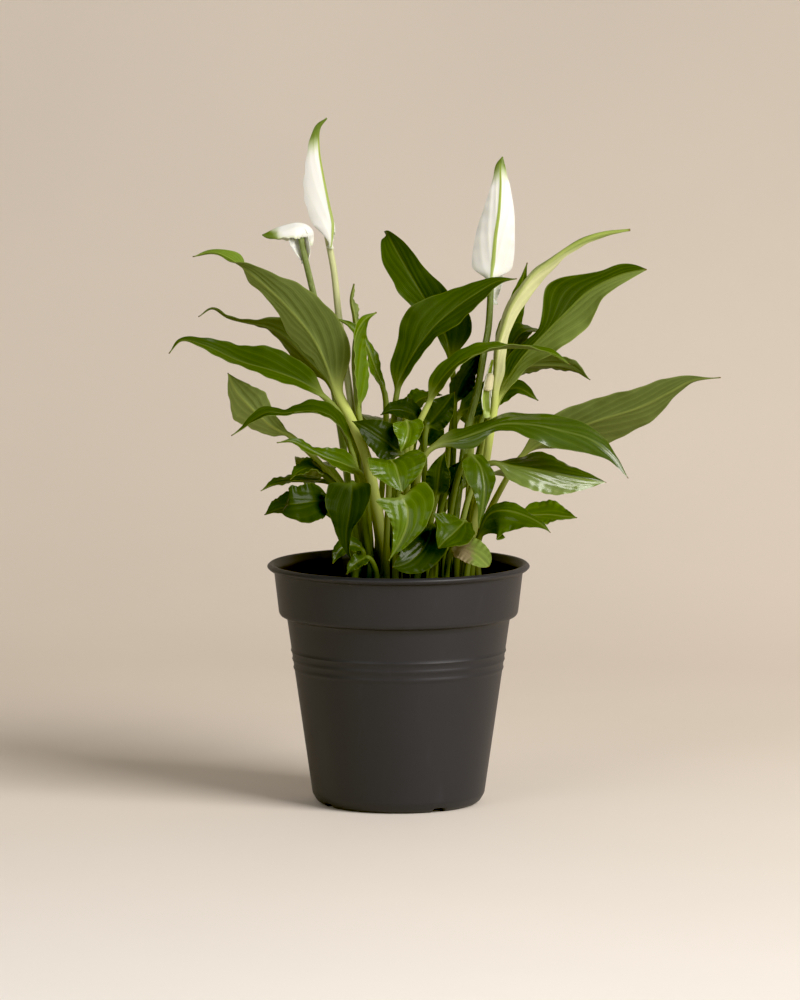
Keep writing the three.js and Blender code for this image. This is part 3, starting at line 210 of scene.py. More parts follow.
# Leaves: name without the node's prefix, root on the soil, rise of the stalk, blade from base to tip, ways
# that the upper side faces from base to tip, half the width, fold angle, what differs from the defaults, and
# five tones. Those are its upper side and its under side, from 0 for the darkest green to 1 for the
# brightest, the lowest of them partly painted shade on leaves that sit in shadow; how glossy it is; how
# bright its stalk is; and painted light: how much brighter its right half is, with a pale painted sheen, and
# how much darker its left half is, as painted shade.
LEAVES = (
    ("tall_left", (-8, -12), [(-7, 120, -12), (-11, 147, -14), (-16, 172, -14), (-23, 189.5, -12)],
     [(-29, 201.5, -10), (-41, 230, -4), (-56, 248.5, 0), (-69, 260.5, 3), (-81, 270, 6), (-92, 275, 9),
      (-103, 273, 11)],
     [(0.25, 0.9, 0.3), (0.3, 0.9, 0.3), (0.3, 0.9, 0.3), (0.3, 0.88, 0.35), (0.3, 0.85, 0.4),
      (-0.05, -0.25, 1), (-0.1, -0.6, 0.7)], 15.5, 9,
     {"neck": 2.4, "stalk": 2.6, "left": [1, 1, 1.1, 1.1, 1, 0.9, 0.7, 0.6, 0.8, 1, 1],
      "right": [0.2, 0.3, 0.45, 0.7, 0.8, 0.5, 0.4, 0.6, 1.2, 0.9, 0.9]}, (0.7, 0.68, 0.1, 0.95, 0.18)),
    ("narrow_upright", (-9, -3), [(-10, 130, -4), (-16, 165, -6), (-18.5, 186, -8)],
     [(-20, 195, -9), (-21.5, 207, -10), (-22.5, 222, -11), (-21, 234, -11), (-17, 241, -10),
      (-11, 245, -8)],
     [(0.9, -0.38, 0.1), (0.88, -0.4, 0.1), (0.4, -0.5, 0.6)], 9, 30, {"wave": 0.2},
     (0.6, 0.6, 0.3, 0.4, 0)),
    ("left_long", (-15, -6), [(-16, 130, -6), (-20, 160, -7), (-22, 177, -8), (-28, 192, -12)],
     [(-36, 201.5, -14), (-47, 209.5, -16), (-62, 215.5, -18), (-79, 220.5, -20), (-97, 228.5, -22),
      (-109, 231, -23), (-115, 224.5, -24)],
     [(0.2, -0.5, 0.8), (0.1, -0.45, 0.85)], 12.5, 14,
     {"left": [1.1, 0.75, 0.8, 0.7, 0.7, 0.6], "right": [1.2, 1.1, 1.1, 1, 0.65, 0.5]},
     (0.2, 0.4, 0.1, 0.3, -0.06)),
    ("left_twisted", (-16, 9), [(-17, 130, 10), (-22, 170, 12), (-29, 197, 14)],
     [(-34.2, 209, 15), (-45.2, 221.5, 16), (-55.8, 232.5, 17), (-65.2, 238, 17), (-75.2, 240, 17),
      (-85.2, 242.5, 17), (-93.2, 247, 17), (-100.2, 243, 17)],
     [(0.2, 0.9, 0.4), (0.1, 0.7, 0.6), (0, 0.4, 0.9), (0, -0.3, 0.9)], 9, 16,
     {"left": [0.9, 1.2, 1.25, 0.5, 0.6, 0.8], "right": [0.9, 1.2, 1, 0.4, 0.6, 0.8]},
     (0.15, 0.22, 0.1, 0.2, 0)),
    ("left_arching", (-14, -14), [(-15, 130, -16), (-18, 150, -18), (-20.5, 163, -20)],
     [(-23.2, 174.5, -22), (-26.8, 184, -24), (-32.2, 192, -27), (-40.2, 195.5, -30), (-49.2, 195.5, -33),
      (-57.7, 194.5, -36), (-65.2, 195, -38), (-71.7, 192, -40), (-77.7, 187.5, -42), (-83.7, 183.5, -44)],
     [(0.5, -0.3, 0.8), (0, -0.35, 0.95), (-0.2, -0.5, 0.85)], 9.5, 14,
     {"left": [1, 1, 0.85, 0.6, 1, 1], "right": [1, 1, 0.85, 0.6, 1, 1], "peak": 0.3},
     (0.14, 0.3, 0.15, 0.25, 0)),
    ("left_upturned", (-20, 1), [(-21, 130, 0), (-28, 155, -6), (-39, 169, -12)],
     [(-54, 183, -18), (-64, 189, -19), (-74, 198, -19), (-81, 206, -18), (-85, 214.5, -16)],
     [(0.3, 0.85, 0.4), (0.3, 0.85, 0.4)], 12.5, 12,
     {"peak": 0.45, "left": [0.3, 0.5, 0.65, 0.9, 0.9, 0.7], "right": [0.8, 0.75, 1, 1.25, 1, 0.6]},
     (0.5, 0.8, 0.1, 0.4, 0.22)),
    ("left_low", (-13, -21), [(-14, 130, -22), (-15.5, 148, -24), (-17, 158, -26)],
     [(-19.5, 164.5, -29), (-26.7, 169, -33), (-36.7, 172.5, -37), (-45.2, 176.7, -40),
      (-53.2, 180.5, -43), (-60.7, 180, -45)],
     [(0.2, -0.5, 0.8), (0.1, -0.5, 0.8), (0, -0.7, 0.7)], 9.5, 14,
     {"left": [1, 1, 0.7, 0.6, 0.8, 1], "right": [1, 1, 0.7, 0.6, 0.8, 1], "peak": 0.25},
     (0.32, 0.5, 0.2, 0.25, 0)),
    ("left_small", (-20, -22), [(-21, 130, -23), (-26, 150, -25), (-33, 160, -27)],
     [(-37, 163.5, -30), (-41, 166.5, -33), (-46, 167, -36), (-51, 164.5, -38), (-54.5, 161.5, -39)],
     [(0.2, -0.4, 0.9), (-0.3, -0.4, 0.8)], 7, 14, {}, (0.22, 0.3, 0.2, 0.15, 0)),
    ("left_thin", (-22, -8), [(-23, 130, -9), (-27, 150, -13), (-31, 158, -16)],
     [(-36, 160.5, -18), (-46, 161, -22), (-57, 160.5, -25), (-64, 158.5, -27), (-69, 156, -28)],
     [(0, -0.15, 1), (0, -0.2, 1)], 8, 10, {}, (0.3, 0.4, 0.1, 0.15, 0)),
    ("left_round", (-21, -29), [(-22, 125, -30), (-26, 143, -33), (-31, 150, -36)],
     [(-34, 151, -38), (-42, 150.5, -45), (-49, 149.5, -49), (-54.5, 149, -50), (-57, 148, -46)],
     [(0, -0.85, 0.5), (-0.1, -0.85, 0.5)], 10.5, 8,
     {"peak": 0.5, "sharp": 1.3, "left": [0.7, 0.9, 1.1, 1.2, 1.1, 0.6],
      "right": [1.6, 1.2, 0.9, 0.9, 1.1, 1]}, (0.05, 0.2, 0.12, 0.1, 0)),
    ("left_behind_round", (-21, -15), [(-22, 122, -15), (-31, 141, -16)],
     [(-42, 147.5, -18), (-51, 148, -22), (-59, 147, -27), (-67, 144, -32)],
     [(0, -0.6, 0.8), (-0.2, -0.6, 0.7)], 9, 12, {}, (0.16, 0.2, 0.2, 0.1, 0)),
    ("hanging_dark", (-14, -34), [(-15, 125, -35), (-18, 146, -36), (-21, 156, -38)],
     [(-23, 159.5, -42), (-23.5, 152, -48), (-24.5, 144, -51), (-26, 134, -52), (-25.5, 126, -51),
      (-23, 120, -50)],
     [(0, -0.4, 1), (-0.15, -0.98, 0.1), (-0.15, -1, -0.15)], 12.5, 14,
     {"peak": 0.24, "sharp": 2.4, "lobe": 6, "left": [1, 0.8, 0.7, 0.45, 0.6, 1],
      "right": [1.1, 1, 1.1, 1, 1, 1.2]}, (0, 0.2, 0, 0.1, 0)),
    ("front_heart", (-2, -34), [(-1, 125, -35), (0, 142, -37), (1, 150, -40)],
     [(1, 152.5, -44), (4.3, 147, -48), (4.5, 139.5, -50), (1.5, 131, -51), (-5, 120.5, -51)],
     [(0, -0.5, 0.9), (0, -0.95, 0.3), (0, -1, 0.2)], 14.5, 10,
     {"peak": 0.24, "sharp": 2.3, "lobe": 11, "left": [1.2, 1, 0.8, 0.7, 0.8, 1],
      "right": [1.2, 1, 0.8, 0.75, 0.8, 1]}, (0.46, 0.6, 0.35, 0.3, 0.05)),
    ("front_drooping", (-6, -25), [(-6, 130, -26), (-5, 153, -27), (-4.5, 166, -28.5)],
     [(-4, 170, -31), (-2, 169, -37), (0, 163, -42), (2, 155, -45)],
     [(0, -0.3, 0.95), (0, -0.7, 0.7)], 16, 22, {"peak": 0.4}, (0.42, 0.5, 0.45, 0.35, 0)),
    ("front_small", (4, -10), [(4, 130, -10), (4, 165, -10), (3.5, 186, -11)],
     [(4, 190, -14), (5, 187, -21), (4, 181, -26), (1, 175, -28)],
     [(0, -0.4, 0.9), (0, -0.8, 0.6)], 8, 16, {}, (0.6, 0.6, 0.5, 0.4, 0)),
    ("centre_dark", (4, 14), [(5, 130, 13), (6.5, 165, 9), (8, 181, 4.5)],
     [(12, 190.5, 3), (5, 195, 0), (-3, 196, -3), (-9, 194, -5)],
     [(0.3, -0.6, 0.7), (-0.2, -0.6, 0.7)], 8, 10, {}, (0.03, 0.1, 0.1, 0.2, 0)),
    ("centre_arching", (2, -1), [(3, 130, -1), (5, 165, -3), (7, 182.5, -6), (11, 191, -8)],
     [(14.5, 198, -9), (21, 211, -10), (31, 220.5, -11), (46, 226.5, -13), (62, 227.5, -15),
      (77, 224.5, -17), (86, 219, -18)],
     [(-0.6, -0.6, 0.5), (-0.3, -0.3, 0.85), (-0.1, 0.1, 1), (0.1, -0.5, 0.85)], 9.5, 12, {"wave": 0.5},
     (0.36, 0.5, 0.1, 0.8, 0)),
    ("centre_broad", (-5, 8), [(-5, 130, 8), (-4, 170, 8), (-2, 195, 8)],
     [(-1, 203.5, 8), (2, 214, 8), (9, 226.5, 7), (18, 238, 6), (29, 247.5, 5), (40, 255, 4),
      (50, 260.5, 3), (59, 262, 2)],
     [(-0.5, -0.7, 0.3), (-0.4, -0.75, 0.5), (-0.3, -0.75, 0.6), (-0.1, -0.6, 0.8)], 13.5, 14,
     {"left": [0.9, 0.8, 1.25, 1, 0.95, 0.7], "right": [0.5, 0.4, 0.55, 0.95, 1.3, 1]},
     (0.2, 0.25, 0.1, 0.3, 0)),
    ("tall_back", (17, 24), [(19, 130, 25), (24, 170, 27), (28, 200, 29)],
     [(26.5, 219, 30), (23, 235, 31), (13.5, 251, 32), (4, 267, 33), (-2, 277.5, 35), (-5.5, 284, 40),
      (-7.5, 285, 47)],
     [(0, -0.95, -0.2), (-0.1, -0.95, -0.15)], 14.5, 14,
     {"peak": 0.38, "left": [0.4, 0.35, 0.5, 0.8, 1.2, 1.2], "right": [1.1, 1.25, 0.9, 0.7, 0.9, 0.5]},
     (0.18, 0.25, 0.05, 0.3, 0)),
    ("back_dark", (24, 16), [(25, 130, 16), (27, 165, 16), (28, 190, 16)],
     [(28, 199, 16), (31, 209, 16), (36, 218, 16), (42, 226, 17)],
     [(0.6, -0.7, 0), (0.6, -0.7, 0)], 7.5, 12, {}, (0.02, 0.1, 0.1, 0.15, 0)),
    ("new_rolled", (33, 2), [(36, 130, 3), (42, 160, 4), (46, 185, 5)],
     [(48, 199, 5), (48.4, 212, 5), (49.6, 226, 5), (52.5, 237, 5), (56, 247, 5), (63, 258, 5),
      (68, 264, 5), (76.2, 270.5, 5), (84, 276.3, 5), (93.5, 281.5, 5), (102, 284.2, 5), (115.8, 286, 5)],
     [(0.7, 0.7, 0.1), (0.4, 0.8, -0.2), (0.3, 0.8, -0.3)], 9.5, 38,
     {"curl": 26, "peak": 0.3, "neck": 3, "stalk": 2,
      "left": [0.6, 0.6, 0.5, 0.45, 0.6, 0.7, 0.8, 0.7, 0.9, 1.3, 1.5],
      "right": [0.8, 1.4, 1.6, 1.35, 1.3, 0.7, 0.7, 0.5, 1, 1, 1.2]}, (1.0, 1.0, 0.1, 1.0, -0.12)),
    ("right_upper", (30, 10), [(33, 130, 11), (39, 160, 12), (44.5, 186, 12)],
     [(49, 200, 12), (53.5, 209.5, 12), (61, 221, 12), (73, 234, 11), (83, 244, 10), (96, 256, 9),
      (111, 263.5, 8), (124, 266.5, 7)],
     [(-0.4, -0.8, 0.4), (-0.4, -0.8, 0.4), (-0.3, -0.8, 0.5)], 15.5, 12,
     {"peak": 0.5, "wave": 1.8, "left": [0.3, 0.6, 0.3, 1.15, 0.6, 1.1],
      "right": [1.1, 0.55, 1, 1.05, 0.8, 0.8]}, (0.5, 0.8, 0.1, 0.85, 0.35)),
    ("right_behind", (38, 18), [(38.5, 130, 18), (41, 165, 20), (45, 186, 22), (51, 203, 23)],
     [(57, 211, 24), (62, 217.5, 25), (74, 219, 27), (86, 217.5, 29), (96, 211.5, 31)],
     [(-0.3, 0.7, 0.6), (0, 0.6, 0.8), (0.2, 0.5, 0.8)], 9, 12, {}, (0.2, 0.35, 0.1, 0.3, 0)),
    ("right_hidden", (31, 26), [(32, 130, 26), (38, 165, 27), (43, 186, 28), (48, 204, 29)],
     [(53, 219, 29), (57, 229, 32), (62, 235, 38), (70, 236, 46), (78, 231, 56)],
     [(-0.3, -0.4, 0.8), (0, -0.2, 0.9)], 9, 12, {}, (0.25, 0.3, 0.2, 0.3, 0)),
    ("right_tip", (23, 34), [(24, 130, 35), (31, 165, 40), (41, 190, 47), (47, 208, 50)],
     [(50, 219, 51), (54, 235, 51), (59, 249.5, 50), (62, 260.5, 49), (64.5, 269.5, 48)],
     [(0.3, -0.9, 0), (0.3, -0.9, 0.1)], 6, 18, {}, (0.3, 0.3, 0.1, 0.2, 0)),
    ("far_right", (40, 8), [(39, 128, 8), (43, 140, 8), (52, 158, 7)],
     [(60, 171, 6), (67, 177.5, 5), (80, 183.5, 3), (96, 190, 0), (121, 198, -4), (135, 205, -7),
      (147, 211, -9), (161, 212.5, -10)],
     [(-0.3, 0.8, 0.4), (-0.3, 0.9, 0.4)], 15.5, 12,
     {"peak": 0.4, "sharp": 2.5, "left": [0.4, 0.8, 1.25, 1.1, 0.6, 0.5],
      "right": [0.9, 0.9, 0.7, 0.85, 1, 0.3]}, (0.4, 0.42, 0.1, 0.65, -0.05)),
    ("right_long", (9, -16), [(9, 130, -17), (9, 155, -19), (11, 168, -21)],
     [(14.5, 175, -23), (22, 179.5, -25), (31, 182, -27), (41, 185.5, -28), (51, 189, -29), (66, 189, -31),
      (81, 186, -33), (96, 181.5, -35), (107, 173, -37), (115, 162, -38)],
     [(0, -0.8, 0.6), (0, -0.8, 0.6), (0, -0.65, 0.75), (0.15, -0.75, 0.6), (0.35, -0.85, 0.35)], 10.5, -8,
     {"wave": 2, "waves": 1.6, "phase": 0.25, "peak": 0.45, "sharp": 1.5,
      "left": [1.5, 1.4, 0.8, 0.7, 1.1, 1, 1.1, 1.1, 1, 0.6, 0.4],
      "right": [0.4, 0.6, 0.8, 0.35, 0.5, 0.9, 1, 0.95, 0.9, 0.6, 0.5], "curl": -20},
     (0.24, 0.6, 1.0, 0.6, 0)),
    ("right_glossy", (28, -12), [(30, 130, -13), (36, 155, -15), (42, 167, -17)],
     [(47, 169.5, -20), (59, 168, -21), (74, 165.5, -19), (88, 162.5, -15), (104, 160, -10)],
     [(0.1, -0.75, 0.62), (0.25, -0.72, 0.6)], 13, -8,
     {"peak": 0.42, "left": [0.3, 0.7, 1.2, 1.1, 1.1, 1], "right": [0.8, 0.8, 0.9, 0.9, 0.9, 0.8],
      "curl": -25}, (0.42, 0.5, 1.0, 0.35, 0.25)),
    ("right_hanging", (22, -20), [(24, 130, -21), (29, 160, -23), (33, 171, -26)],
     [(35, 173.5, -30), (40.5, 169, -36), (43, 159, -41), (42.5, 149, -43), (40, 136.5, -44)],
     [(0.2, -0.5, 0.8), (0.2, -0.9, 0.3)], 8, 14,
     {"peak": 0.34, "left": [1, 0.6, 0.75, 0.5, 0.4, 0.3], "right": [1.6, 1.5, 1.4, 0.9, 0.75, 1]},
     (0.25, 0.4, 0.4, 0.2, 0)),
    ("right_low", (33, -22), [(35, 120, -24), (38.5, 127, -26)],
     [(40.5, 132, -28), (42, 139, -30), (46, 144.5, -33), (53, 146, -37), (63, 143.5, -41),
      (71, 139.5, -45), (76, 135, -48)],
     [(-0.8, -0.7, 0.2), (0, -0.8, 0.6), (0.1, -0.7, 0.7)], 11, -12,
     {"peak": 0.42, "left": [0.7, 0.3, 0.5, 0.5, 0.3, 0.5], "right": [1.6, 1.5, 1.4, 1, 0.9, 0.4]},
     (0.25, 0.3, 0.3, 0.25, 0)),
    ("right_low_back", (36, -9), [(37, 120, -10), (41, 134, -14), (50, 142, -18)],
     [(60, 143.5, -21), (68, 143.8, -24), (76, 143.8, -28), (83, 143, -33), (89, 142.5, -37)],
     [(0, -0.6, 0.7), (0, -0.7, 0.7)], 8.5, 10, {}, (0.5, 0.5, 0.8, 0.25, 0)),
    ("front_cupped", (16, -34), [(18, 120, -35), (26, 133, -37)],
     [(33, 140, -40), (31, 138, -46), (27, 134, -51), (23.5, 131, -54), (20, 127, -55)],
     [(0.1, -0.6, 0.8), (0.2, -0.8, 0.5)], 11.5, 20,
     {"peak": 0.42, "sharp": 1.5, "left": [0.5, 0.6, 0.9, 1, 0.8, 0.6],
      "right": [1.1, 0.9, 0.95, 1.35, 0.9, 0.8]}, (0.2, 0.5, 0.15, 0.3, 0)),
    ("old_yellow", (24, -36), [(24, 114, -37), (25, 122, -40)],
     [(26.2, 125.5, -43), (32.2, 127, -48), (39.2, 123.5, -52), (45.2, 118, -56)],
     [(0, -0.8, 0.5), (0, -0.8, 0.5)], 7, 8, {"peak": 0.5, "sharp": 1.1, "wave": 0.3},
     (0.4, 0.45, 0.1, 0.2, 0)),
    ("low_dark", (8, -30), [(10, 115, -31), (14, 132, -33)],
     [(17, 138, -36), (15, 131, -43), (10, 124, -48), (4, 119.5, -51), (-3, 117.5, -53)],
     [(0, -0.7, 0.7), (0, -0.95, 0.3)], 11, 8, {"peak": 0.42, "sharp": 1.6}, (0.06, 0.1, 0.25, 0.1, 0)),
    ("rim_left", (-22, -37), [(-21, 115, -38), (-18, 121, -39)],
     [(-18, 125.5, -40), (-22, 128.5, -42), (-28, 127, -45), (-33, 119.5, -50)],
     [(0.2, -0.6, 0.8), (-0.2, -0.9, 0.5)], 5, 14, {}, (0.15, 0.2, 0.2, 0.1, 0)),
    ("rim_front", (-10, -40), [(-11, 114, -42), (-14, 121, -47)],
     [(-16, 122, -50), (-19, 121, -54), (-23, 118, -57), (-26, 114, -58)],
     [(0, -0.6, 0.8), (0, -0.9, 0.5)], 4, 12, {}, (0.12, 0.2, 0.2, 0.1, 0)),
    ("front_left_dark", (-3, -17), [(-2, 130, -18), (0, 155, -18), (2, 166, -17)],
     [(2, 173, -17), (-4, 178.5, -19), (-10, 183, -21), (-17, 187.5, -23), (-23, 190.5, -23)],
     [(0.1, -0.9, 0.4), (0, -0.9, 0.4)], 9.5, 10, {}, (0.03, 0.1, 0.1, 0.2, 0)),
    ("centre_upright", (13, 2), [(13, 130, 2), (13, 165, 0), (13, 180, -1)],
     [(14, 187, -2), (18, 192, -2), (23, 198, -2), (28, 205, -1)],
     [(-0.3, -0.9, 0.1), (-0.3, -0.9, 0.1)], 8, 12, {}, (0.05, 0.1, 0.2, 0.2, 0)),
    ("centre_bright", (2, 20), [(2.8, 130, 20), (2.8, 170, 20), (2.8, 189, 20)],
     [(4.8, 195, 20), (8.8, 200, 21), (14.2, 203, 24), (21.8, 204, 28)],
     [(-0.4, -0.5, 0.7), (-0.2, -0.4, 0.8)], 8, 12, {}, (0.4, 0.4, 0.1, 0.6, 0)),
    ("centre_back", (20, 40), [(21, 130, 40), (24, 165, 39), (27, 185, 38)],
     [(30, 193, 38), (36, 197.5, 38), (44, 201.5, 38), (52, 205.5, 38), (60, 207, 38), (70, 201, 38)],
     [(-0.2, -0.8, 0.6), (0, -0.7, 0.7)], 9, 14, {}, (0.25, 0.3, 0.1, 0.4, 0)),
    ("tip_hooked", (31, 38), [(33, 130, 41), (36, 170, 50)],
     [(37, 186, 55), (38, 193, 62), (40, 193, 74), (43, 185, 88)],
     [(0, 0, 1), (0, 0.3, 1)], 10, 12, {}, (0.3, 0.3, 0.2, 0.4, 0)),
    ("back_left", (-10, 18), [(-10.2, 130, 18), (-7.2, 170, 19), (-6.2, 195, 20)],
     [(-6.8, 204, 20), (-11.8, 218, 20), (-16.2, 229, 20), (-23.2, 237.5, 20), (-31.2, 242.5, 20)],
     [(0.8, -0.6, 0.2), (0.7, -0.6, 0.3)], 6.5, 14,
     {"right": [0.6, 0.5, 0.6, 0.8, 1], "left": [0.8, 0.9, 0.8, 0.8, 1]}, (0.45, 0.4, 0.2, 0.3, 0)),
    ("rolled_tip", (-20, 25), [(-20, 130, 25), (-20, 175, 26), (-20, 215, 26)],
     [(-21, 235, 26), (-22, 243, 26), (-23.5, 251, 26), (-22, 259, 26)],
     [(0.8, 0.6, 0), (0.8, 0.6, 0)], 2.6, 50, {}, (0.6, 0.75, 0.1, 0.3, 0)),
    ("slim_dark", (18, -8), [(19, 130, -8), (21, 146, -9)],
     [(23.5, 154, -10), (27, 161, -12), (30, 167, -14), (32, 171, -16)],
     [(-0.3, -0.8, 0.3), (-0.3, -0.8, 0.3)], 6, 12, {}, (0.05, 0.1, 0.2, 0.15, 0)),
    ("centre_low", (14, -24), [(15, 130, -26), (17, 145, -28)],
     [(19, 153, -30), (20, 161, -32), (21, 168, -33), (23, 175, -34)],
     [(-0.2, -0.9, 0.3), (-0.2, -0.9, 0.3)], 6.5, 12, {}, (0.1, 0.2, 0.2, 0.2, 0)),
    ("centre_shade", (9, 6), [(9, 130, 6), (9, 160, 6), (10, 172, 7)],
     [(12, 178, 8), (15, 184, 9), (17, 190, 10), (17, 196, 11)],
     [(0, -0.9, 0.3), (0, -0.9, 0.3)], 8, 12, {}, (0.03, 0.1, 0.1, 0.2, 0)),
    ("rear_left", (-16, 38), [(-18, 130, 42), (-26, 155, 50)],
     [(-33, 166, 58), (-38, 170, 70), (-42, 166, 84), (-46, 156, 96)],
     [(0, 0.1, 1), (0, 0.6, 0.8)], 13, 12, {}, (0.3, 0.3, 0.3, 0.2, 0)),
    ("rear_middle", (-2, 34), [(-2, 130, 38), (-3, 165, 48)],
     [(-4, 182, 57), (-5, 191, 72), (-6, 190, 90), (-7, 180, 106), (-8, 168, 116)],
     [(0, 0, 1), (0, 0.5, 0.9)], 15, 12, {}, (0.35, 0.3, 0.3, 0.2, 0)),
    ("rear_right", (12, 44), [(14, 125, 48), (22, 145, 56)],
     [(30, 156, 64), (40, 163, 76), (52, 164, 90), (64, 158, 102)],
     [(0, 0, 1), (0.3, 0.5, 0.8)], 13, 12, {}, (0.3, 0.3, 0.3, 0.2, 0)),
)

# Blooms: flower stalk, spathe and spadix, as for the leaves. Pale is how pale the stalk is. The last three
# tones are the share of the length where the green tip starts, a factor on the midrib's width, and how green
# the margin is. A tip that starts past 1 isn't there, and below a factor of 0 the midrib isn't either.
SPATHE_DEFAULTS = {"sharp": 1.5, "curl": 45, "wave": 0.5, "waves": 2, "neck": 1.6}
BLOOMS = (
    {
        "name": "left", "pale": 1.0, "tones": (1, 1, 0.75, 0.35, 0),
        "root": (-14, 30), "radius": 1.6,
        "rise": [(-16, 130, 30), (-21, 180, 30), (-26, 215, 31), (-30, 244, 32), (-32.4, 266, 33.5),
                 (-35.6, 282.9, 34.5)],
        "blade": [(-34.2, 277.5, 29.8), (-33.4, 283, 30.1), (-33, 289, 30.8), (-35, 299, 31),
                  (-38, 314, 31), (-40, 327, 31), (-39.5, 337, 31), (-36, 342, 31)],
        "faces": [(-0.85, 0.5, 0.1), (-0.85, 0.5, 0.1)],
        "shape": {"width": 11.5, "fold": 36, "curl": 40, "peak": 0.3, "stalk": 0.6,
                  "left": (0.2, 0.75, 1, 1, 1, 1), "right": (0.75, 0.95, 1, 1, 1, 1)},
        "core": [(-36.3, 283.6, 34.6), (-40, 297, 34.2), (-43, 311, 34.2), (-45, 321, 34.2)],
        "core_radius": 3,
    },
    {
        "name": "bud", "pale": 0.15, "tones": (1, 1, 0.76, -0.6, 1),
        "root": (-21, 17), "radius": 1.5,
        "rise": [(-22, 130, 18), (-28, 180, 20), (-36, 225, 22), (-43, 256, 20), (-47, 273, 19),
                 (-49.5, 286, 19)],
        "blade": [(-44.8, 279, 22.3), (-43.5, 281.5, 22), (-43.2, 285, 20.5), (-46.2, 288.2, 19.5),
                  (-50.8, 289.2, 19), (-56.2, 288.2, 18.5), (-60.8, 286.7, 18), (-68, 283.3, 18)],
        "faces": [(-1, -0.2, 0), (-0.7, -0.1, -0.7), (0, -0.2, -1), (0, -0.2, -1)],
        "shape": {"width": 8, "fold": 40, "curl": 60, "peak": 0.5, "sharp": 1.3},
        "core": None,
    },
    {
        "name": "right", "pale": 0.12, "tones": (1, 1, 0.82, 0.35, 0),
        "root": (27, 4), "radius": 1.6,
        "rise": [(27.5, 130, 5), (30, 155, 6), (35, 189, 8), (39, 204, 10), (43, 226, 12),
                 (45, 237.5, 13), (46, 254.5, 14), (46.3, 264.5, 16)],
        "blade": [(46.1, 261, 12), (47.3, 270, 12), (48.5, 283, 11), (50.2, 295, 11), (51, 308, 12),
                  (51, 318, 13), (52, 322.5, 14)],
        "faces": [(0, 1, 0), (0, 1, 0)],
        "shape": {"width": 10.9, "fold": 8, "curl": 26, "peak": 0.24, "sharp": 1.3, "lobe": 4,
                  "left": (1, 1, 1, 1, 1, 1.05, 1.8), "right": (1.7, 1.05, 1, 1, 1, 1.05, 1.8)},
        "core": [(46.4, 264.85, 16.4), (48, 278, 18.5), (49.3, 290, 19), (50, 301, 19)],
        "core_radius": 3.4,
    },
)
YOUNG_BLOOM = {
    "tones": (1, 1, 2, 1.3, 0.6),
    "blade": [(44, 192.5, 2.2), (43.2, 201, 1), (44.5, 211, 0.5), (47, 221, 0)],
    "faces": [(0.3, -1, 0), (0.3, -1, 0)],
    "shape": {"width": 3.4, "fold": 30, "curl": 40},
    "core": [(44.5, 205.5, -0.6), (45.2, 210, -0.6), (46, 214.5, -0.6)],
    "core_radius": 2.6,
}

# Thin flaps where a spathe runs down its stalk: name, blade, way that it faces, and its shape
FRILLS = (
    ("frill_bud", [(-46.5, 269.5, 21), (-47.6, 275, 21.5), (-49.5, 281, 22), (-51, 287.5, 22)],
     (0, -1, 0), {"width": 7.5, "fold": 24, "curl": 50, "peak": 0.7, "sharp": 0.9, "wave": 1.2}),
    ("frill_right", [(47.8, 249, 15), (48.3, 255, 14.6), (49.2, 260, 14.6), (49.8, 264, 14.8)],
     (0, -1, 0), {"width": 3.2, "fold": 10, "curl": 30, "peak": 0.8, "sharp": 0.9, "neck": 0.4}),
    ("frill_left", [(-34.2, 277, 31.4), (-33.2, 282, 31.2), (-32.6, 287, 31.2), (-33, 291.5, 31.4)],
     (0.3, -1, 0), {"width": 1, "fold": 10, "curl": 30, "peak": 0.5, "neck": 0.4}),
)
FRILL_TONES = (1, 1, 2, -2, 0.2)

# Rows and columns of points of each kind of piece, and how strongly a spathe is ribbed beside a leaf
STALK_GRID = (120, 24)
SPATHE_GRID = (120, 33)
SPADIX_GRID = (150, 63)
YOUNG_SPATHE_GRID = (60, 25)
YOUNG_SPADIX_GRID = (60, 45)
FRILL_GRID = (40, 17)
SPATHE_RIBBED = 0.4
THIN_RIBBED = 0.3

# Flower stalks: how much thicker the foot is, and the depth and number of the ribs
STALK_FLARE = 0.35
STALK_RIB = 0.02
STALK_RIBS = 5

# A spadix: the power that blunts its ends, their least section, its taper, the crossing helices of knobs
# round it, the half turns of each along it, and the knobs' depth as a share of the radius
SPADIX_BLUNTNESS = 6
SPADIX_END = 0.02
SPADIX_TAPER = 0.18
KNOB_HELICES = 4.5
KNOB_TURNS = 15
KNOB_DEPTH = 0.14


def unit(vectors):
    """Each vector divided by its length."""
    return vectors / np.maximum(np.linalg.norm(vectors, axis=-1, keepdims=True), 1e-9)


def smooth(values, low, high):
    """0 below low, 1 above high, and an S-curve between them."""
    share = np.clip((values - low) / (high - low), 0, 1)
    return share * share * (3 - 2 * share)


def square_to(vectors, along):
    """The part of each vector that is square to its path, at unit length."""
    return unit(vectors - along * np.sum(vectors * along, axis=-1, keepdims=True))


def place(points):
    """Each [across, up, depth] as a point in space: the line of sight through it, met at that depth."""
    points = np.asarray(points, float)
    forward = unit(AIM - EYE)
    right = unit(np.cross(forward, (0, 0, 1)))
    above = np.cross(right, forward)
    ray = forward + right * (points[:, :1] - SIGHT_ACROSS) / SIGHT_LENGTH
    ray = ray + above * (points[:, 1:2] - SIGHT_UP) / SIGHT_LENGTH
    return EYE + ray * (points[:, 2:] - EYE[1]) / ray[:, 1:2]


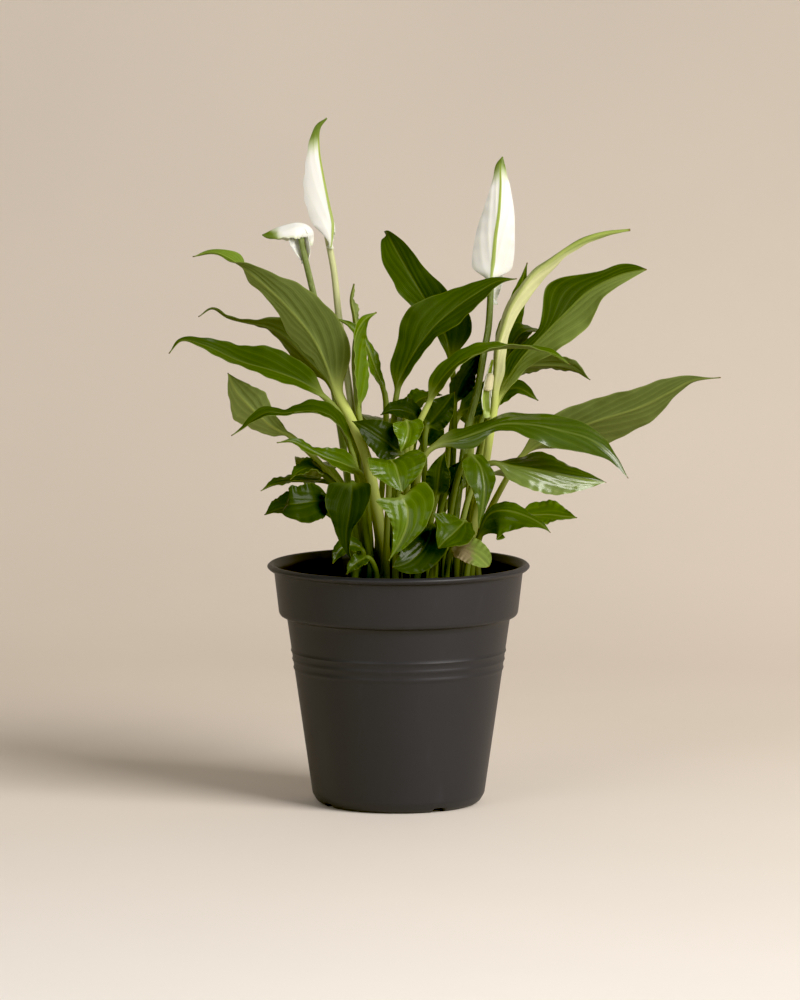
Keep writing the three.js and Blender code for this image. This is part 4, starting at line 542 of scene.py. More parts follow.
def spline(control, steps=40):
    """A centripetal Catmull-Rom curve through the control points, and its length up to each of them."""
    control = np.asarray(control, float)
    before = np.vstack([2 * control[0] - control[1], control[:-1]])[:, None]
    after = np.vstack([control[2:], 2 * control[-1] - control[-2]])[:, None]
    start, end = control[:-1, None], control[1:, None]
    before = before[:-1]
    gaps = [np.maximum(np.sum((b - a) ** 2, axis=-1, keepdims=True) ** 0.25, 1e-4)
            for a, b in ((before, start), (start, end), (end, after))]
    leave = ((start - before) / gaps[0] - (end - before) / (gaps[0] + gaps[1]) + (end - start) / gaps[1])
    reach = ((end - start) / gaps[1] - (after - start) / (gaps[1] + gaps[2]) + (after - end) / gaps[2])
    leave, reach = leave * gaps[1], reach * gaps[1]
    t = np.linspace(0, 1, steps, endpoint=False)[None, :, None]
    curve = (start + leave * t + (3 * (end - start) - 2 * leave - reach) * t ** 2
             + (2 * (start - end) + leave + reach) * t ** 3)
    points = np.vstack([curve.reshape(-1, 3), control[-1:]])
    lengths = np.concatenate([[0], np.cumsum(np.linalg.norm(np.diff(points, axis=0), axis=1))])
    return points, lengths, lengths[::steps]


def along_path(points, lengths, shares):
    """Points and directions at shares of a path's length."""
    at = shares * lengths[-1]
    slopes = unit(np.gradient(points, axis=0))
    place_at = np.stack([np.interp(at, lengths, points[:, k]) for k in range(3)], 1)
    slope_at = np.stack([np.interp(at, lengths, slopes[:, k]) for k in range(3)], 1)
    return place_at, unit(slope_at)


def blend_keys(keys, shares):
    """Evenly spaced key vectors, each eased into the next."""
    keys = np.asarray(keys, float)
    at = shares * (len(keys) - 1)
    first = np.minimum(at.astype(int), len(keys) - 2)
    share = smooth(at - first, 0, 1)[:, None]
    return keys[first] * (1 - share) + keys[first + 1] * share


def tube_faces(rows, sides):
    """Quads between rings of points, and fans to the two end points that follow the last ring."""
    ring = np.arange(sides)
    turn = (ring + 1) % sides
    start = np.arange(rows - 1)[:, None] * sides
    quads = np.stack([start + ring, start + turn, start + turn + sides, start + ring + sides], -1)
    last = (rows - 1) * sides
    foot = np.stack([turn, ring, np.full(sides, rows * sides)], -1)
    tip = np.stack([last + ring, last + turn, np.full(sides, rows * sides + 1)], -1)
    return quads.reshape(-1, 4), np.vstack([foot, tip])


def make_piece(name, points, quads, triangles, material, sharp=None):
    """A mesh object of quads and triangles, in metres, with its faces turned outwards."""
    first, second, third = points[quads[:, 0]], points[quads[:, 1]], points[quads[:, 2]]
    fourth = points[quads[:, 3]]
    volume = np.sum(first * (np.cross(second, third) + np.cross(third, fourth)))
    if len(triangles):
        a, b, c = (points[triangles[:, k]] for k in range(3))
        volume += np.sum(a * np.cross(b, c))
    if volume < 0:
        quads, triangles = quads[:, ::-1], triangles[:, ::-1]
    mesh = bpy.data.meshes.new(name)
    mesh.vertices.add(len(points))
    mesh.vertices.foreach_set("co", (points * MM).astype(np.float32).ravel())
    corners = np.concatenate([quads.ravel(), triangles.ravel()]).astype(np.int32)
    mesh.loops.add(len(corners))
    mesh.loops.foreach_set("vertex_index", corners)
    starts = np.concatenate([np.arange(len(quads)) * 4, len(quads) * 4 + np.arange(len(triangles)) * 3])
    mesh.polygons.add(len(starts))
    mesh.polygons.foreach_set("loop_start", starts.astype(np.int32))
    mesh.update(calc_edges=True)
    mesh.shade_smooth()
    if sharp is not None:
        mesh.set_sharp_from_angle(angle=math.radians(sharp))
    mesh.materials.append(material)
    piece = bpy.data.objects.new(name, mesh)
    bpy.context.scene.collection.objects.link(piece)
    return piece


def paint(piece, maps, **fields):
    """Adds a UV map and vector attributes, each with one row for each point of the mesh."""
    mesh = piece.data
    corners = np.empty(len(mesh.loops), np.int32)
    mesh.loops.foreach_get("vertex_index", corners)
    layer = mesh.uv_layers.new(name="surface")
    layer.data.foreach_set("uv", maps[corners].astype(np.float32).ravel())
    for name, values in fields.items():
        attribute = mesh.attributes.new(name, "FLOAT_VECTOR", "POINT")
        attribute.data.foreach_set("vector", values.astype(np.float32).ravel())


def settle(piece, node):
    """The piece stands for its CAD node and rides on the root body."""
    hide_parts(node)
    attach(piece, "root")


def rooted(root, rise):
    """A stalk's path: straight up out of the soil at its root, and on through its rise."""
    return [[*root, SOIL_TOP - ROOT_DEPTH], [*root, SOIL_TOP + SOIL_MOUND], *place(rise)]


def keyed(keys, shares):
    """A number eased through evenly spaced keys."""
    return blend_keys(np.asarray(keys, float)[:, None], shares)


def half_width(shape, s, side):
    """Width of the blade's left or right half at each share of its length: widest at its peak, drawn out
    to a point, and scaled by that side's keys."""
    rise = (s / shape["peak"]) ** (shape["peak"] * shape["sharp"])
    fall = ((1 - s) / (1 - shape["peak"])) ** ((1 - shape["peak"]) * shape["sharp"])
    width = (shape["width"] * rise * fall)[:, None] * keyed(shape[side], s)
    return np.maximum(np.maximum(width, (shape["neck"] * (1 - s))[:, None]), TIP_HALF_WIDTH)


def leaf_piece(name, leaf, material, size, tones, ribbed=1.0):
    """A round stalk that opens into a blade. The blade is a grid of v across and s along: its section is
    an arc that starts at the fold angle and turns by the curl angle, its margin waves as a sine of s, and
    its side veins press it down where the distance along, less a curve in v, is a whole number of gaps.
    Its attributes are growth: which side vein, millimetres from the midrib, and how far it is stalk; look:
    upper side, tone and share of the whole length; and finish: the other three tones, the last of them a
    leaf's painted light and shade on its two halves, or a spathe's green margin."""
    rows, columns = size
    shape = {**LEAF_DEFAULTS, **leaf["shape"]}
    below = rooted(leaf["root"], leaf["rise"]) if leaf["root"] else []
    points, lengths, marks = spline([*below, *place(leaf["blade"])])
    base = marks[len(below)] / lengths[-1]
    stalk_rows = rows // 3 if below else 0
    s = np.concatenate([np.zeros(stalk_rows), np.linspace(0, 1, rows) ** ROW_CROWDING])
    stalk_share = np.linspace(0, base, stalk_rows, endpoint=False)
    share = np.concatenate([stalk_share, base + (1 - base) * s[stalk_rows:]])
    centre, along = along_path(points, lengths, share)
    up = square_to(blend_keys(leaf["faces"], s), along)
    side = np.cross(along, up)
    blade_length = (1 - base) * lengths[-1]

    w = np.linspace(-1, 1, columns)
    v = ((1 - COLUMN_CROWDING) * w + COLUMN_CROWDING * w ** 3)[None, :]
    out = np.abs(v)
    half = np.where(v > 0, half_width(shape, s, "right"), half_width(shape, s, "left"))
    s = s[:, None]
    share = share[:, None]
    opened = np.where(share >= base, smooth(s, *BLADE_OPENS), 0)
    fold, curl = math.radians(shape["fold"]), math.radians(shape["curl"])
    slope = fold + curl * out
    swing = shape["waves"] * s + shape["phase"] + np.where(v > 0, WAVE_OFFSET, 0)
    wave = shape["wave"] * np.sin(math.pi * s) * v * v * np.sin(2 * math.pi * swing)
    flutter = np.sin(2 * math.pi * (RIPPLE_WAVES * swing + RIPPLE_PHASE))
    ripple = RIPPLE_HEIGHT * np.sin(math.pi * s) * out ** 3 * flutter
    x = np.sign(v) * half * (np.sin(slope) - np.sin(fold)) / curl
    z = half * (np.cos(fold) - np.cos(slope)) / curl + wave + ripple
    back = -shape["lobe"] * (1 - s) ** 3 * out * np.minimum(1, half / shape["width"])
    reach = half * out
    vein = s * blade_length / VEIN_GAP - shape["width"] / VEIN_SWEEP * out ** VEIN_BEND
    window = smooth(out, *VEIN_INNER) * (1 - smooth(out, *VEIN_OUTER)) * np.minimum(1, half / VEIN_FULL_WIDTH)
    pleat = 0.5 + 0.5 * np.cos(2 * math.pi * vein)
    depth = VEIN_PRESS + VEIN_PRESS_BRIGHT * tones[0]
    press = -ribbed * depth * window * smooth(s, *VEIN_FIRST) * pleat ** 2
    groove = -GROOVE_DEPTH * ribbed * np.exp(-((reach / GROOVE_WIDTH) ** 2))
    keel = ribbed * (KEEL_AT_TIP + KEEL_AT_FOOT * (1 - s)) * np.exp(-((reach / KEEL_WIDTH) ** 2))
    thick = LEAF_THICKNESS * (1 - MARGIN_THINNING * out ** 6) + keel

    radius = shape["stalk"] * (1 + SHEATH * np.maximum(0, 1 - share / SHEATH_SHARE))
    turn = (math.pi * (1 - (np.arange(columns) + 0.5) / columns))[None, :]
    round_x, round_z = radius * np.cos(turn), radius * np.sin(turn)
    under_x = x + thick * (np.sign(v) * np.sin(slope))
    top_z, under_z = z + press + groove, z + press - thick * np.cos(slope)

    def surface(right, rise):
        shift = centre[:, None] + side[:, None] * right[..., None] + up[:, None] * rise[..., None]
        return shift + along[:, None] * (back * opened)[..., None]

    top = surface(round_x * (1 - opened) + x * opened, round_z * (1 - opened) + top_z * opened)
    under = surface(round_x * (1 - opened) + under_x * opened, -round_z * (1 - opened) + under_z * opened)
    rings = np.concatenate([top, under[:, ::-1]], axis=1)
    count, sides = rings.shape[:2]
    ends = np.stack([rings[0].mean(axis=0), rings[-1].mean(axis=0) + along[-1] * TIP_HALF_WIDTH])
    quads, triangles = tube_faces(count, sides)
    piece = make_piece(name, np.vstack([rings.reshape(-1, 3), ends]), quads, triangles, material, LEAF_EDGE)

    def both(values, foot=0.0, tip=0.0):
        """Values for the upper side, the same for the under side, and the two end points'."""
        values = np.broadcast_to(values, (count, columns))
        joined = np.concatenate([values, values[:, ::-1]], axis=1).ravel()
        return np.concatenate([joined, [foot, tip]])

    is_top = np.concatenate([np.ones((count, columns)), np.zeros((count, columns))], axis=1).ravel()
    maps = np.stack([both((v + 1) / 2, 0.5, 0.5), both(s, 0, 1)], 1)
    growth = np.stack([both(vein), both(reach), both(1 - opened, 1, 0)], 1)
    tone = np.where(is_top > 0.5, tones[0], tones[1])
    look = np.stack([np.concatenate([is_top, [1, 1]]), np.concatenate([tone, tones[:1] * 2]),
                     both(share)], 1)
    # Painted light and shade: a leaf's right half gets this much brighter and its left half this much darker;
    # a spathe's margin green rides here instead.
    painted_half_light_or_edge_green = tones[4] * (np.sign(v) if leaf["root"] else 1)
    even = [both(value, value, value) for value in tones[2:4]]
    finish = np.stack([*even, both(painted_half_light_or_edge_green, 0, 0)], 1)
    paint(piece, maps, growth=growth, look=look, finish=finish)
    return piece


def rod_piece(name, core, radius_at, size, material):
    """A rod along a path: its radius is a function of the share along it and the angle round it."""
    rows, sides = size
    points, lengths, _ = spline(core)
    share = np.linspace(0, 1, rows)
    centre, along = along_path(points, lengths, share)
    up = square_to(np.broadcast_to((1.0, 0.0, 0.0), along.shape), along)
    side = np.cross(along, up)
    angle = math.pi * (1 - (2 * np.arange(sides) + 1) / sides)
    radius = radius_at(share[:, None], angle[None, :])
    rings = centre[:, None] + side[:, None] * (radius * np.cos(angle))[..., None]
    rings = rings + up[:, None] * (radius * np.sin(angle))[..., None]
    ends = np.stack([centre[0], centre[-1]])
    quads, triangles = tube_faces(rows, sides)
    piece = make_piece(name, np.vstack([rings.reshape(-1, 3), ends]), quads, triangles, material, ROD_EDGE)
    around = np.broadcast_to((angle / (2 * math.pi) + 0.5)[None, :], radius.shape).ravel()
    height = np.broadcast_to(share[:, None], radius.shape).ravel()
    maps = np.stack([np.append(around, (0.5, 0.5)), np.append(height, (0, 1))], 1)
    form = np.append((radius / radius.max(axis=1, keepdims=True)).ravel(), (1, 1))
    paint(piece, maps, form=np.stack([form, maps[:, 1], maps[:, 0]], 1))
    return piece


def revolve_piece(name, profile, sides, material, shift, sharp):
    """A profile of [radius, height] turned about the vertical axis, from its lower end on the axis to its
    upper one. A shift function then moves its rings."""
    profile = np.asarray(profile, float)
    angle = np.arange(sides) * 2 * math.pi / sides
    inner = profile[1:-1]
    rings = np.stack([inner[:, :1] * np.cos(angle), inner[:, :1] * np.sin(angle),
                      np.broadcast_to(inner[:, 1:], (len(inner), sides))], -1)
    rings = shift(rings, angle)
    centre = np.array([[0, 0, profile[0, 1]], [0, 0, rings[-1, :, 2].mean()]])
    quads, triangles = tube_faces(len(inner), sides)
    return make_piece(name, np.vstack([rings.reshape(-1, 3), centre]), quads, triangles, material, sharp)


def rounded(profile, radius, steps):
    """A profile whose inner corners are cut by quadratic curves of about the given radius."""
    profile = np.asarray(profile, float)
    out = [profile[:1]]
    t = np.linspace(0, 1, steps)[:, None]
    for before, corner, after in zip(profile[:-2], profile[1:-1], profile[2:]):
        back, ahead = before - corner, after - corner
        reach = min(radius, 0.45 * np.linalg.norm(back), 0.45 * np.linalg.norm(ahead))
        start, end = corner + unit(back) * reach, corner + unit(ahead) * reach
        out.append(start * (1 - t) ** 2 + corner * 2 * t * (1 - t) + end * t ** 2)
    out.append(profile[-1:])
    return np.vstack(out)


def inside_radius(height):
    """Radius of the pot's inside at a height: its outside's, less the wall."""
    radii, heights = np.transpose(OUTSIDE)
    return np.interp(height, heights, radii) - WALL


class Term:
    """A number that varies over a surface. Arithmetic on it adds Math nodes to its material."""

    def __init__(self, look, socket):
        self.look = look
        self.socket = socket

    def math(self, operation, *values):
        return self.look.add("ShaderNodeMath", {"operation": operation}, dict(enumerate(values)))

    def __add__(self, other):
        return self.math("ADD", self, other)

    __radd__ = __add__

    def __sub__(self, other):
        return self.math("SUBTRACT", self, other)

    def __rsub__(self, other):
        return self.math("SUBTRACT", other, self)

    def __mul__(self, other):
        return self.math("MULTIPLY", self, other)

    __rmul__ = __mul__

    def __pow__(self, other):
        return self.math("POWER", self, other)

    def __abs__(self):
        return self.math("ABSOLUTE", self)

    def either(self, other):
        """The greater of two numbers."""
        return self.math("MAXIMUM", self, other)

    def pulse(self, power):
        """1 where the number is whole, falling to 0 half way to the next; a higher power is narrower."""
        return abs(self.math("FRACT", self) * 2 - 1) ** power

    def ease(self, low, high):
        """0 below low, 1 above high, and an S-curve between them."""
        settings = {"interpolation_type": "SMOOTHSTEP"}
        return self.look.add("ShaderNodeMapRange", settings, {0: self, 1: low, 2: high, 3: 0.0, 4: 1.0})


class Look:
    """A material and the nodes that feed its surface."""

    def __init__(self, name):
        """Starts a material of that name, with its one shader."""
        self.material = bpy.data.materials.new(name)
        self.material.use_nodes = True
        self.tree = self.material.node_tree
        self.shader = self.tree.nodes["Principled BSDF"]
        self.coordinates = self.tree.nodes.new("ShaderNodeTexCoord")

    def connect(self, socket, value):
        """Links a term to a socket, or sets the socket's own value. A colour is opaque."""
        if isinstance(value, Term):
            self.tree.links.new(value.socket, socket)
        elif socket.type == "RGBA":
            socket.default_value = (*value, 1.0)
        else:
            socket.default_value = value

    def add(self, kind, settings, values, output=0):
        """A node of any kind: its settings first, then the values or links of its sockets."""
        node = self.tree.nodes.new(kind)
        for key, value in settings.items():
            setattr(node, key, value)
        for key, value in values.items():
            self.connect(node.inputs[key], value)
        return Term(self, node.outputs[output])

    def parts(self, vector):
        """The three components of a vector."""
        split = self.add("ShaderNodeSeparateXYZ", {}, {0: vector})
        return [Term(self, socket) for socket in split.socket.node.outputs]

    def field(self, name):
        """The three numbers of a vector attribute of the mesh."""
        return self.parts(self.add("ShaderNodeAttribute", {"attribute_name": name}, {}, "Vector"))

    def chart(self):
        """The surface's own map: across, and along."""
        return self.parts(Term(self, self.coordinates.outputs["UV"]))[:2]

    def place(self, stretch=(1.0, 1.0, 1.0)):
        """Object coordinates, stretched along each axis."""
        point = Term(self, self.coordinates.outputs["Object"])
        return self.add("ShaderNodeMapping", {}, {"Vector": point, "Scale": stretch})

    def noise(self, scale, detail=2.0, stretch=(1.0, 1.0, 1.0)):
        """Cloudy noise from 0 to 1 on object coordinates."""
        values = {"Vector": self.place(stretch), "Scale": scale, "Detail": detail}
        return self.add("ShaderNodeTexNoise", {}, values)

    def cells(self, scale):
        """Distance to the nearest of scattered points, in cells."""
        return self.add("ShaderNodeTexVoronoi", {}, {"Vector": self.place(), "Scale": scale})

    def mix(self, share, first, second):
        """A colour between two others."""
        settings = {"data_type": "RGBA", "clamp_factor": True}
        return self.add("ShaderNodeMix", settings, {0: share, 6: first, 7: second}, 2)

    def tint(self, colour, strength):
        """A colour made darker or brighter by a factor."""
        grey = self.add("ShaderNodeCombineXYZ", {}, {0: strength, 1: strength, 2: strength})
        settings = {"data_type": "RGBA", "blend_type": "MULTIPLY"}
        return self.add("ShaderNodeMix", settings, {0: 1.0, 6: colour, 7: grey}, 2)

    def relief(self, height, distance, strength=1.0):
        """Fine relief, its distance in metres."""
        values = {"Height": height, "Distance": distance, "Strength": strength}
        self.connect(self.shader.inputs["Normal"], self.add("ShaderNodeBump", {}, values))

    def finish(self, **sockets):
        """Sets the shader's sockets and gives back the material."""
        for key, value in sockets.items():
            self.connect(self.shader.inputs[key.replace("_", " ")], value)
        return self.material


def colour_prop(name, description, default):
    """A colour that a user would change."""
    return FloatVectorProperty(name=name, description=description, subtype="COLOR", size=3, default=default,
                               min=0.0, max=1.0)


class LilyPot(PropertyGroup):
    colour: colour_prop("Pot", "Colour of the pot's plastic", (0.0168, 0.016, 0.0222))
    ridge: FloatProperty(name="Ridge", description="How far each ridge stands out, in mm", default=0.45)
    sides: IntProperty(name="Sides", description="Facets round the pot", default=192)


class LilySoil(PropertyGroup):
    dark: colour_prop("Damp soil", "Colour of the damp soil", (0.012, 0.008, 0.006))
    light: colour_prop("Dry soil", "Colour of drier crumbs", (0.05, 0.031, 0.02))
    crumbs: IntProperty(name="Crumbs", description="Crumbs lying on the soil", default=700)


class LilyLeaves(PropertyGroup):
    dark: colour_prop("Dark leaf", "Upper side of the darkest leaves", (0.0145, 0.028, 0.0035))
    bright: colour_prop("Bright leaf", "Upper side of the brightest leaves", (0.13, 0.225, 0.008))
    under_dark: colour_prop("Dark underside", "Under side of the darkest leaves", (0.052, 0.071, 0.018))
    under_bright: colour_prop("Bright underside", "Under side of the brightest leaves", (0.195, 0.243, 0.072))
    rib: colour_prop("Midrib", "Midribs and veins", (0.36, 0.42, 0.1))
    stalk: colour_prop("Pale leaf stalk", "Leaf stalks of the palest leaves", (0.5, 0.56, 0.15))
    stalk_dark: colour_prop("Dark leaf stalk", "Leaf stalks of the darkest leaves", (0.05, 0.085, 0.01))
    rows: IntProperty(name="Rows", description="Rows of faces along a blade", default=84)
    columns: IntProperty(name="Columns", description="Columns of points across a blade", default=25)


class LilyBlooms(PropertyGroup):
    spathe: colour_prop("Spathe", "White of the spathes", (0.79, 0.785, 0.73))
    green: colour_prop("Green", "Green of the spathes' tips", (0.105, 0.165, 0.008))
    rib: colour_prop("Midrib", "Green of the spathes' midribs", (0.27, 0.36, 0.03))
    stalk: colour_prop("Flower stalk", "Darkest flower stalk", (0.1, 0.15, 0.014))
    pale: colour_prop("Pale flower stalk", "Palest flower stalk", (0.52, 0.54, 0.26))
    spadix: colour_prop("Spadix", "Cream of the spadices", (0.74, 0.68, 0.42))


class LilyStage(PropertyGroup):
    black: colour_prop("Black level", "What shows as black", (0.01, 0.01, 0.016))
    floor: colour_prop("Floor", "Colour of the plain backdrop", (0.72, 0.636, 0.55))
    # Painted light: the floor in front is given a paler, whiter colour than the rest.
    front: colour_prop("Front", "Colour of the floor in front", (0.79, 0.757, 0.72))
    key: FloatProperty(name="Key light", description="Power of the key light", default=66.0, unit="POWER")
    fill: FloatProperty(name="Fill light", description="Power of the fill light", default=9.0, unit="POWER")
    sky: FloatProperty(name="Sky", description="Strength of the even light", default=0.2)


def plastic_material(settings):
    """Matte moulded plastic: faint grain, a soft scuffed bloom, and a slightly uneven sheen."""
    look = Look("pot_plastic")
    cloud = look.noise(18.0, 4.0)
    grain = look.noise(1400.0)
    scuff = look.noise(160.0, 5.0, (1.0, 1.0, 0.25)).ease(0.6, 0.78)
    colour = look.tint(settings.colour, 0.86 + 0.28 * cloud + 0.25 * scuff)
    look.relief(grain, 0.00006, 0.5)
    rough = 0.42 + 0.12 * cloud + 0.06 * scuff
    return look.finish(Base_Color=colour, Roughness=rough, Specular_IOR_Level=0.45)


def soil_material(settings):
    """Crumbly soil: dark damp peat with paler fibres and grains."""
    look = Look("soil_crumb")
    clump = look.noise(90.0, 4.0)
    grain = look.cells(700.0)
    colour = look.mix(clump.ease(0.4, 0.75), settings.dark, settings.light)
    colour = look.tint(colour, 0.7 + 0.7 * grain)
    look.relief(look.noise(500.0, 3.0), 0.0006)
    return look.finish(Base_Color=colour, Roughness=0.93)


def leaf_material(name, settings, greens, greened=0.0, decayed=0.0):
    """Green leaf: glossy above with sunken paler veins, paler and duller below, with a light midrib and
    margin, and a stalk darkened towards its foot by painted shade, with some soil. Its greens are the
    darkest and brightest of the upper side, then of the under side. Painted light brightens one half of a
    blade, mixed towards a pale painted sheen, and painted shade darkens the other. A greened leaf is
    greener towards its tip, and a decayed one is brown round its foot."""
    look = Look(name)
    dark, bright, under_dark, under_bright = greens
    vein, reach, stem = look.field("growth")
    face, tone, height = look.field("look")
    gloss, stalk_tone, painted_half_light_or_edge_green = look.field("finish")
    across, along = look.chart()
    edge = abs(across * 2 - 1)
    cloud = look.noise(45.0, 3.0)
    speck = look.noise(420.0, 3.0)
    blade = 1 - stem
    line = vein.pulse(3.0) * blade
    thread = (vein * 4).pulse(4.0) * blade
    rib = (1 - reach.ease(0.25, 0.85)) * blade
    margin = edge.ease(0.94, 0.99) * blade
    # Painted light and shade: the tone rises on a blade's right half and falls on its left.
    shade = tone + painted_half_light_or_edge_green
    above = look.mix(shade, dark, bright)
    below = look.mix(shade, under_dark, under_bright)
    green = look.mix(face, below, above)
    fresh = (along + 0.5 * edge * (across - 0.5)).ease(0.5, 0.8)
    green = look.mix(greened * fresh, green, FRESH_GREEN)
    # Painted sheen: a brightened half is mixed towards the pale under side green.
    green = look.mix(painted_half_light_or_edge_green.ease(0.0, 0.5), green, under_bright)
    green = look.tint(green, 0.7 + 0.42 * cloud + 0.14 * speck + (0.17 - 0.03 * face) * line)
    green = look.mix((0.01 + 0.12 * tone) * line + 0.06 * tone * thread, green, settings.rib)
    green = look.mix(margin * (0.08 + 0.3 * tone), green, settings.rib)
    green = look.mix(rib * (0.05 + 0.75 * tone) * (1 - 0.5 * along), green, settings.rib)
    rot = (0.8 * cloud - along + 0.4 * across + 0.3 * speck).ease(0.1, 0.35)
    green = look.mix(decayed * rot, green, ROT_BROWN)
    # Painted shade, with some soil: each stalk darkens towards its foot, least for the palest stalks.
    foot = 0.03 + 0.34 * stalk_tone
    strength = (foot + (1 - foot) * height.ease(0.06, 0.32)) * (0.85 + 0.3 * cloud)
    stalk = look.mix(stalk_tone, settings.stalk_dark, settings.stalk)
    colour = look.mix(stem, green, look.tint(stalk, strength))
    colour = look.mix(along.ease(0.985, 1.0) * 0.8, colour, TIP_BROWN)
    rough = 0.5 + 0.1 * cloud + 0.12 * (1 - face) - 0.12 * gloss
    look.relief(0.6 * speck - 0.7 * thread, 0.00012, 0.6)
    return look.finish(Base_Color=colour, Roughness=rough, Specular_IOR_Level=0.1,
                       Coat_Weight=gloss * face * blade, Coat_Roughness=0.2, Coat_IOR=1.5)


def spathe_material(settings):
    """White spathe: waxy white with a green midrib that narrows towards the tip, faint green veins, a
    margin and foot that may be green, and a tip that turns a deeper green."""
    look = Look("spathe_white")
    vein, reach, _ = look.field("growth")
    tip_from, rib_width, edge_green = look.field("finish")
    across, along = look.chart()
    cloud = look.noise(60.0, 3.0)
    rib = (1 - (reach - rib_width * (2.4 - 2.1 * along)).ease(0.0, 0.4)) * (0.9 + 0.1 * along)
    line = vein.pulse(6.0) * 0.08
    streak = 0.25 * look.noise(220.0, 3.0, (1.0, 1.0, 0.15)) - 0.05
    tip = (along + streak - tip_from).ease(0.0, 0.2)
    ripe = (along + streak - tip_from).ease(0.06, 0.24)
    foot = (1 - along.ease(0.0, 0.08)) * 0.4
    rim = abs(across * 2 - 1).ease(0.8, 1.0) * edge_green
    colour = look.mix(line + 0.05 * cloud + rim * 0.5, settings.spathe, VEIN_GREEN)
    green = look.mix(ripe, settings.rib, settings.green)
    colour = look.mix(rib.either(tip).either(foot), colour, green)
    look.relief(look.noise(300.0), 0.00008, 0.4)
    return look.finish(Base_Color=colour, Roughness=0.45 + 0.1 * cloud, Subsurface_Weight=0.3,
                       Subsurface_Radius=(1.0, 1.0, 0.6), Subsurface_Scale=0.0015)


def stalk_material(name, settings, pale):
    """Flower stalk: smooth green with pale specks and faint lengthwise lines, darker at its foot as painted
    shade.
    """
    look = Look(name)
    _, height, around = look.field("form")
    cloud = look.noise(60.0, 3.0)
    speck = look.noise(900.0, 2.0, (1.0, 1.0, 0.3)).ease(0.56, 0.72)
    colour = look.mix(pale * height.ease(0.2, 0.8), settings.stalk, settings.pale)
    # Painted shade: the stalk darkens towards its foot.
    colour = look.tint(colour, (0.25 + 0.75 * height.ease(0.05, 0.35)) * (0.82 + 0.35 * cloud))
    colour = look.mix(speck * 0.3, colour, VEIN_GREEN)
    look.relief((around * 14).pulse(2.0), 0.00008, 0.5)
    return look.finish(Base_Color=colour, Roughness=0.45 + 0.1 * cloud)


def spadix_material(settings):
    """Spadix: cream knobs with greener hollows between them."""
    look = Look("spadix_cream")
    form = look.field("form")[0]
    hollow = 1 - form.ease(0.84, 0.97)
    colour = look.mix(hollow * 0.8, settings.spadix, HOLLOW_GREEN)
    colour = look.tint(colour, 0.9 + 0.2 * look.noise(300.0))
    look.relief(look.noise(1500.0), 0.00008, 0.5)
    return look.finish(Base_Color=colour, Roughness=0.7)


class LILY_OT_pot(Operator):
    """Turn the pot with its ridges, rolled rim, notched foot and drain holes"""

    bl_idname = "lily.pot"
    bl_label = "Pot"

    def execute(self, context):
        settings = context.scene.lily_pot
        body = np.linspace(BODY_FOOT + 2, BODY_TOP - 2, BODY_ROWS)
        widening = (BODY_TOP_RADIUS - BODY_FOOT_RADIUS) * (body - BODY_FOOT)
        slope = BODY_FOOT_RADIUS + widening / (BODY_TOP - BODY_FOOT)
        for ridge in RIDGE_HEIGHTS:
            slope = slope + settings.ridge * np.exp(-(((body - ridge) / RIDGE_SPREAD) ** 2))
        ring_inside = FOOT_RADIUS - FOOT_RING_WIDTH
        foot = rounded([(0, 0), (PAD_RADIUS, 0), (PAD_RADIUS + 0.6, FLOOR_UNDER), (ring_inside, FLOOR_UNDER),
                        (ring_inside, 0), (FOOT_RADIUS, 0), *OUTSIDE[:2], (slope[0], body[0])],
                       FOOT_ROUNDING, FOOT_STEPS)
        inside = [(inside_radius(height), height) for height in (COLLAR_FOOT + 1, BODY_TOP, FLOOR_TOP + 2)]
        floor_edge = inside_radius(FLOOR_TOP) - FLOOR_BEVEL
        rim = rounded([(slope[-1], body[-1]), *OUTSIDE[2:], *RIM, *inside, (floor_edge, FLOOR_TOP),
                       (0, FLOOR_TOP)], RIM_ROUNDING, RIM_STEPS)
        profile = np.vstack([foot, np.stack([slope, body], 1)[1:-1], rim])

        def notch(rings, angle):
            """Lifts the foot ring's underside where a notch crosses it."""
            spread = 2 * math.pi / NOTCHES
            off = (angle - (NOTCH_TURN - math.pi / 2) + spread / 2) % spread - spread / 2
            crossed = np.abs(off) * FOOT_RADIUS < NOTCH_WIDTH / 2
            radius = np.linalg.norm(rings[..., :2], axis=-1)
            low = (radius > ring_inside - 1) & (rings[..., 2] < FLOOR_UNDER)
            rings[..., 2] = np.where(low & crossed, FLOOR_UNDER - 0.1, rings[..., 2])
            return rings

        plastic = plastic_material(settings)
        pot = revolve_piece("nursery_pot", profile, settings.sides, plastic, notch, POT_EDGE)
        cutters = []
        for index in range(DRAIN_HOLES):
            turn = (index + 0.5) * 2 * math.pi / DRAIN_HOLES
            spot = (DRAIN_CIRCLE * math.cos(turn) * MM, DRAIN_CIRCLE * math.sin(turn) * MM, FLOOR_TOP * MM)
            bpy.ops.mesh.primitive_cylinder_add(vertices=DRAIN_SIDES, radius=DRAIN_RADIUS * MM,
                                                depth=DRAIN_CUT * MM, location=spot)
            cutters.append(context.object)
        for cutter in cutters:
            cut = pot.modifiers.new("drain", "BOOLEAN")
            cut.object = cutter
            cut.solver = "EXACT"
        cut_mesh = bpy.data.meshes.new_from_object(pot.evaluated_get(context.evaluated_depsgraph_get()))
        pot.modifiers.clear()
        pot.data = cut_mesh
        for cutter in cutters:
            bpy.data.objects.remove(cutter)
        settle(pot, "pot")
        return {"FINISHED"}


